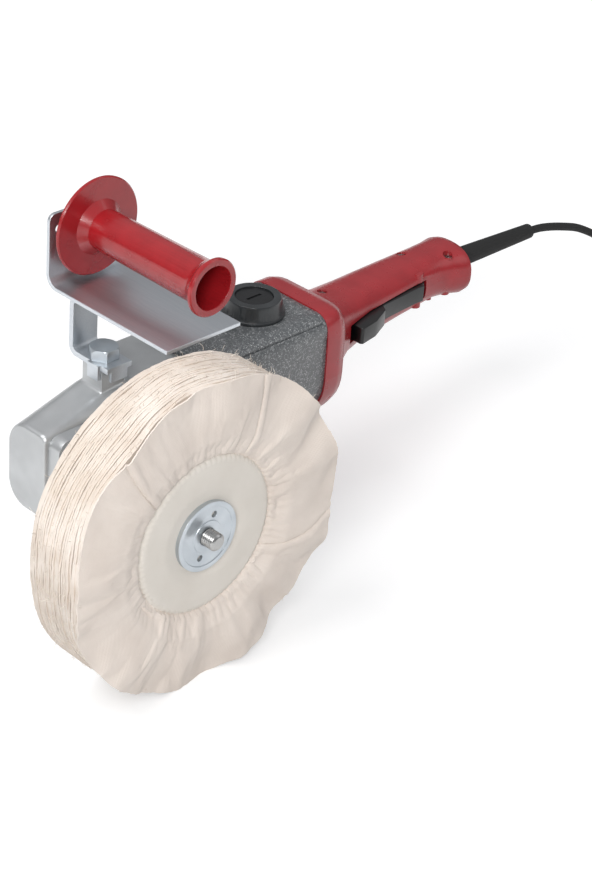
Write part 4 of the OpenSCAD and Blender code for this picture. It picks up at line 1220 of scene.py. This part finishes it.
    def stack(self) -> None:
        """Makes the plies behind the front one: thin rings whose cut edges make the rim."""
        points, faces = [], []
        inner, thick, lip, corners = self.ply_inner, self.ply_thick, self.ply_lip, 7
        for ply in range(1, self.plies + 1):
            depth = ply / self.plies
            base = self.ply_height(ply)
            first = len(points)
            for i in range(self.spots):
                angle = math.tau * i / self.spots
                ring = Vector((math.cos(angle), math.sin(angle), 0))
                edge = self.edge_radius(angle, ply) - 2.2 * max(0, (depth - 0.9) / 0.1)
                sway = self.edge_wave(angle, depth)
                sway += 1.1 * noise.noise(ring * 3.2 + Vector((0, base * 0.12, 0)))
                sway += 0.5 * noise.noise(ring * 7 + Vector((0, ply * 1.3, 0)))
                highest = self.back + self.sway_limit - thick
                sway = min(max(base + sway, -self.sway_limit), highest) - base
                fan = 0.2 * noise.noise(ring * 24 + Vector((0, ply * 5.3, 0)))
                for radius, share, side in (
                    (inner, 0, 0), (edge - lip, 0.85, 0), (edge - 0.2, 1, 0.05),
                    (edge, 1, 0.5), (edge - 0.2, 1, 0.95), (edge - lip, 0.85, 1), (inner, 0, 1),
                ):
                    height = base + sway * share + fan * share + thick * (side - 0.5)
                    points.append(self.place(radius, angle, height))
            for i in range(self.spots):
                here, after = first + i * corners, first + (i + 1) % self.spots * corners
                for j in range(corners):
                    k = (j + 1) % corners
                    faces.append([here + j, here + k, after + k, after + j])
        piece = Workpiece.from_points("ply_stack", points, faces)
        core = Workpiece.turned(
            "ply_core",
            [
                (8, 7), (36, 7), (62, 7), (70, 5), (119, 6),
                (119, 51), (60, 50), (36, 49), (8, 49), (8, 7),
            ],
            (0, 0, 0),
        )
        piece.join([core])
        piece.edit()
        bpy.ops.mesh.select_all(action="SELECT")
        bpy.ops.mesh.normals_make_consistent(inside=False)
        piece.leave()
        piece.finish(Shop.cut_edge, SPINDLE, "wheel_cloth", ["cloth_wheel"], smooth=50)

    def ply_height(self, ply: int) -> float:
        """Height of a ply: plies lie on each other in bundles with a gap between bundles."""
        gaps = sum(self.bundle_gap for each in range(1, ply + 1) if each % self.bundle == 0)
        return self.front + 2.0 + ply * self.ply_pitch + gaps

    def stitches(self) -> None:
        """Sews the ring: short slanted stitches, each a small round-ended thread."""
        count = self.stitch_count
        made = []
        for i in range(count):
            angle = math.tau * i / count
            height = self.face_height(self.seam_r, angle) - 0.75
            start = self.place(self.seam_r - 1.1, angle - 0.016, height)
            end = self.place(self.seam_r + 1.3, angle + 0.016, height)
            made.append([start, (start + end) / 2 - Vector((0, 0.35 * MM, 0)), end])
        self.tubes("seam_stitches", made, 0.45)

    def threads(self) -> None:
        """Leaves loose threads along the cut edges, and along the seam."""
        chance = random.Random(self.seed)
        made = []
        for _ in range(self.edge_threads):
            angle = chance.uniform(0, math.tau)
            ply = chance.choice([0, 0, 1, 2, *range(3, self.plies)])
            depth = ply / self.plies
            base = self.ply_height(ply) + self.edge_wave(angle, depth)
            if ply == 0:
                base = self.face_height(self.radius, angle)
            edge = self.edge_radius(angle, ply) - 0.5
            long = chance.uniform(1.0, 3.2) * (2.2 if chance.random() < 0.16 else 1)
            turn = chance.uniform(-1, 1) * long * 0.8 / self.radius
            sway = chance.uniform(-0.6, 0.6) * long
            made.append(
                [
                    self.place(edge, angle, base),
                    self.place(edge + long * 0.6, angle + turn * 0.3, base + sway * 0.3),
                    self.place(edge + long, angle + turn, base + sway),
                ]
            )
        for _ in range(self.seam_threads):
            angle = chance.uniform(0, math.tau)
            height = self.face_height(self.seam_r + 1, angle) - 0.6
            long = chance.uniform(1.2, 3)
            turn = chance.uniform(-0.02, 0.02)
            made.append(
                [
                    self.place(self.seam_r + 0.5, angle, height),
                    self.place(self.seam_r - long * 0.4, angle + turn, height - 0.9),
                    self.place(self.seam_r - long, angle + turn * 2, height - 0.5),
                ]
            )
        self.tubes("loose_threads", made, 0.16)

    def tubes(self, name: str, lines: list[list[Vector]], radius: float) -> None:
        """Makes thin round threads along lines of three points.

        Args:
            name: The piece's name.
            lines: The lines, in metres.
            radius: The threads' radius, in millimetres.
        """
        points, faces = [], []
        sides = 4
        for line in lines:
            first = len(points)
            along = (line[-1] - line[0]).normalized()
            side = along.orthogonal().normalized()
            other = along.cross(side)
            for i, spot in enumerate(line):
                wide = radius * MM * (1, 1, 0.55)[i]
                for k in range(sides):
                    turn = math.tau * k / sides
                    points.append(spot + (side * math.cos(turn) + other * math.sin(turn)) * wide)
            for i in range(2):
                for k in range(sides):
                    a, b = first + i * sides + k, first + i * sides + (k + 1) % sides
                    faces.append([a, b, b + sides, a + sides])
            faces.append([first + 3, first + 2, first + 1, first])
            faces.append([first + 8, first + 9, first + 10, first + 11])
        piece = Workpiece.from_points(name, points, faces)
        piece.finish(Shop.thread, SPINDLE, "wheel_cloth", [], smooth=180)


@dataclass
class SpindleEnd:
    """The flange nut and the threaded spindle nose. Millimetres."""

    nose_r: float = 7
    out: float = 11
    pitch: float = 2

    def build(self) -> None:
        """Makes the nut with soft edges, and the thread on the nose."""
        nut = Workpiece.copied("flange_nut", "flange_nut_disc")
        nut.edges(0.5, 3)
        nut.finish(Shop.zinc_part, SPINDLE, "zinc_steel", ["flange_nut"])
        outline = [(0, -self.out), (4.6, -self.out), (5.4, -self.out + 0.5)]
        height = -self.out + 1.2
        while height < 0.4:
            crest = height + self.pitch * 0.45
            outline += [(self.nose_r - 0.75, height), (self.nose_r - 0.05, crest)]
            height += self.pitch * 0.9
        outline += [(self.nose_r - 0.8, height), (self.nose_r - 0.8, 3), (0, 3)]
        nose = Workpiece.turned("spindle_nose", outline, (0, 0, 0), steps=48)
        nose.edges(0.12, 2)
        shaft = Workpiece.copied("spindle", "spindle_shaft")
        shaft.edit()
        bpy.ops.mesh.select_all(action="SELECT")
        bpy.ops.mesh.bisect(
            plane_co=(0, 0.002, 0), plane_no=(0, 1, 0), clear_inner=True, use_fill=True
        )
        shaft.leave()
        nose.join([shaft])
        nose.finish(Shop.steel, SPINDLE, "bright_steel", ["spindle"])


# ---- Machine ----


@dataclass
class Softened:
    """A CAD piece whose sharp edges are rounded off as the real one's are."""

    node: str
    name: str
    finish: Finish
    slot: str
    edge_mm: float
    segments: int = 3
    body: str = MACHINE
    smooth: float = 32
    angle: float = 28

    def build(self) -> None:
        """Copies the CAD piece, rounds its edges and dresses it."""
        piece = Workpiece.copied(self.node, self.name)
        if self.edge_mm:
            piece.edges(self.edge_mm, self.segments, self.angle)
        piece.finish(self.finish, self.body, self.slot, [self.node], self.smooth)


@dataclass
class Recast:
    """A CAD piece that is given the soft corners of a casting or moulding."""

    node: str
    name: str
    finish: Finish
    slot: str
    grain_mm: float
    smoothing: int
    keep: float
    body: str = MACHINE

    def build(self) -> None:
        """Copies the CAD piece, evens it out and dresses it."""
        piece = Workpiece.copied(self.node, self.name)
        piece.recast(self.grain_mm, self.smoothing, self.keep)
        piece.finish(self.finish, self.body, self.slot, [self.node], 40)


@dataclass
class MotorCasing:
    """The motor's casing, with its mould's joint line along the front top edge. Millimetres."""

    line_y: float = 110.4
    line_w: float = 1.3
    floor_z: float = 48.6
    end_x: float = 223

    def build(self) -> None:
        """Copies the casing, cuts the joint line and rounds the edges."""
        piece = Workpiece.copied("motor_housing", "motor_casing")
        groove = Workpiece.block(
            "groove",
            (90, self.line_y, self.floor_z),
            (self.end_x, self.line_y + self.line_w, self.floor_z + 12),
        )
        piece.cut(groove)
        piece.edges(0.4, 2, 40)
        piece.finish(Shop.hammer, MACHINE, "hammertone", ["motor_housing"])


@dataclass
class Polisher:
    """The whole machine: its CAD pieces in their finishes, and its modelled pieces."""

    frame: dict

    def build(self) -> None:
        """Dresses the CAD pieces and builds the others."""
        self.dress()
        MainsCord().build()
        BuffingWheel().build()
        SpindleEnd().build()
        for piece in self.pieces():
            piece.build()

    def dress(self) -> None:
        """Gives every CAD node the finish of its material slot."""
        for row in self.frame["record"]["subparts"]:
            node = self.frame["nodes"][row["node"]]
            node.data.materials.clear()
            node.data.materials.append(Shop.by_slot[row["material_slot"]].material())

    def pieces(self) -> list[Softened | Recast | MotorCasing]:
        """Lists the casings, brackets and grips that take soft edges.

        Returns:
            The pieces, in the order in which they are built.
        """
        return [
            Softened("bow_plate", "bow_plate_sheet", Shop.zinc_sheet, "bow_steel", 0.6),
            Softened("bow_post", "bow_post_strip", Shop.zinc_sheet, "bow_steel", 0.5),
            Softened("bow_bolt", "bow_bolt_hex", Shop.zinc_part, "zinc_steel", 0.5),
            Softened(
                "side_handle", "side_handle_grip", Shop.red_grip, "red_handle", 0.6, angle=55
            ),
            Softened("side_handle_bolt", "side_bolt_hex", Shop.zinc_part, "zinc_steel", 0.4),
            Recast("gear_housing", "gear_head_casting", Shop.cast_head, "cast_head", 1.0, 3, 0.6),
            Softened("bearing_flange", "bearing_flange_casting", Shop.cast_head, "cast_head", 1.0),
            MotorCasing(),
            Softened("top_brush_boss", "top_brush_ring", Shop.brush_ring, "boss_plastic", 0.8),
            Softened(
                "bottom_brush_boss", "bottom_brush_ring", Shop.brush_ring, "boss_plastic", 0.8
            ),
            Softened("top_brush_cap", "top_slotted_cap", Shop.black_nylon, "cap_plastic", 0.5),
            Softened(
                "bottom_brush_cap", "bottom_slotted_cap", Shop.black_nylon, "cap_plastic", 0.5
            ),
            Softened(
                "upper_handle_shell", "upper_grip_shell", Shop.red_abs, "red_shell", 0, smooth=42
            ),
            Softened(
                "lower_handle_shell", "lower_grip_shell", Shop.red_abs, "red_shell", 0, smooth=42
            ),
            Softened(
                "trigger", "trigger_paddle", Shop.trigger, "trigger_plastic", 1.0, body="trigger"
            ),
            Softened("cord_sleeve", "cord_sleeve_taper", Shop.rubber, "black_rubber", 0.8),
        ]


def main() -> None:
    """Builds the scene in order."""
    logging.basicConfig(level=logging.INFO, format="%(name)s: %(message)s")
    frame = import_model()
    Studio(floor_z=-0.125).build()
    Polisher(frame).build()


if __name__ == "__main__":
    main()
